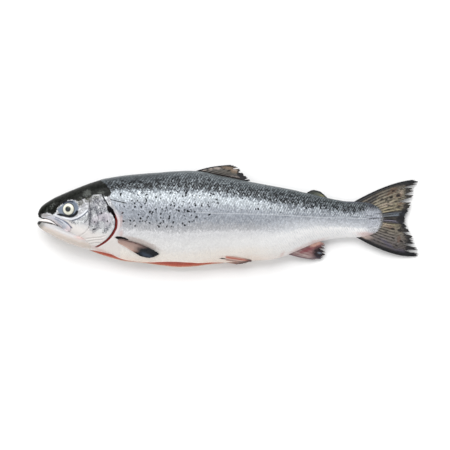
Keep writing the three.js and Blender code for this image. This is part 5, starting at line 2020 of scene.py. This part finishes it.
@dataclass(frozen=True)
class Studio:
    """A pale floor, soft light from beyond the fish's back, and a camera straight above."""

    field: float = 0.81  # metres of table across the picture
    camera_height: float = 3.0
    aim: tuple[float, float] = (-0.0053, -0.0163)

    def build(self) -> None:
        """Builds floor, lights, sky and camera."""
        self._floor()
        self._light("soft_box", (-0.45, 2.2, 2.4), (-0.02, 0.0, 0.0), (4.0, 3.0), 131.0)
        self._light("fill", (-0.9, -1.4, 2.1), (0.0, 0.0, 0.0), (2.6, 2.6), 14.0)
        scene = bpy.context.scene
        scene.view_settings.view_transform = "Standard"
        scene.world = bpy.data.worlds.new("sky")
        scene.world.use_nodes = True
        sky = scene.world.node_tree.nodes["Background"].inputs
        sky[0].default_value, sky[1].default_value = (1.0, 1.0, 1.0, 1.0), 0.53
        lens = bpy.data.cameras.new("camera")
        lens.type = "ORTHO"
        lens.ortho_scale = self.field
        lens.clip_start, lens.clip_end = 0.05, 40.0
        camera = bpy.data.objects.new("camera", lens)
        camera.location = (*self.aim, self.camera_height)
        scene.collection.objects.link(camera)
        scene.camera = camera

    @staticmethod
    def _floor() -> None:
        """A plain pale floor under the fish."""
        size = 30.0
        mesh = bpy.data.meshes.new("floor")
        corner_points = [(-size, -size, 0), (size, -size, 0), (size, size, 0), (-size, size, 0)]
        mesh.from_pydata(corner_points, [], [(0, 1, 2, 3)])
        material = bpy.data.materials.new("floor_white")
        material.use_nodes = True
        shader = material.node_tree.nodes["Principled BSDF"]
        shader.inputs["Base Color"].default_value = paint(252, 252, 252)
        shader.inputs["Roughness"].default_value = 0.9
        shader.inputs["Specular IOR Level"].default_value = 0.1
        mesh.materials.append(material)
        floor = bpy.data.objects.new("floor", mesh)
        bpy.context.scene.collection.objects.link(floor)

    @staticmethod
    def _light(name: str, place: tuple[float, float, float], aim: tuple[float, float, float],
               size: tuple[float, float], power: float) -> None:
        """Adds a soft rectangular light.

        Args:
            name: Its name.
            place: Where it hangs.
            aim: What it faces.
            size: Its two sides in metres.
            power: Watts.
        """
        lamp = bpy.data.lights.new(name, "AREA")
        lamp.shape = "RECTANGLE"
        lamp.size, lamp.size_y = size
        lamp.energy = power
        hung = bpy.data.objects.new(name, lamp)
        hung.location = place
        towards = np.array(aim) - np.array(place)
        hung.rotation_mode = "QUATERNION"
        hung.rotation_quaternion = Vector(towards.tolist()).to_track_quat("-Z", "Y")
        bpy.context.scene.collection.objects.link(hung)


# ------------------------------------------------------------------------------------------------------- main


def corners(box: tuple) -> list[list[float]]:
    """A pair of corners as plain lists of numbers."""
    return [[float(v) for v in corner] for corner in box]


def main() -> None:
    """Builds the fish round its frame, then the studio."""
    logging.basicConfig(level=logging.INFO, format="%(message)s")
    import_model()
    skin = Skin()
    skin.build()
    BellyCut(skin).build()
    jaw = LowerJaw()
    jaw.build()
    MouthLining(jaw).build()
    for side in Side:
        JawBone(jaw).build(side)
        Eye().build(side)
    FinSet().build()
    Studio().build()


if __name__ == "__main__":
    main()
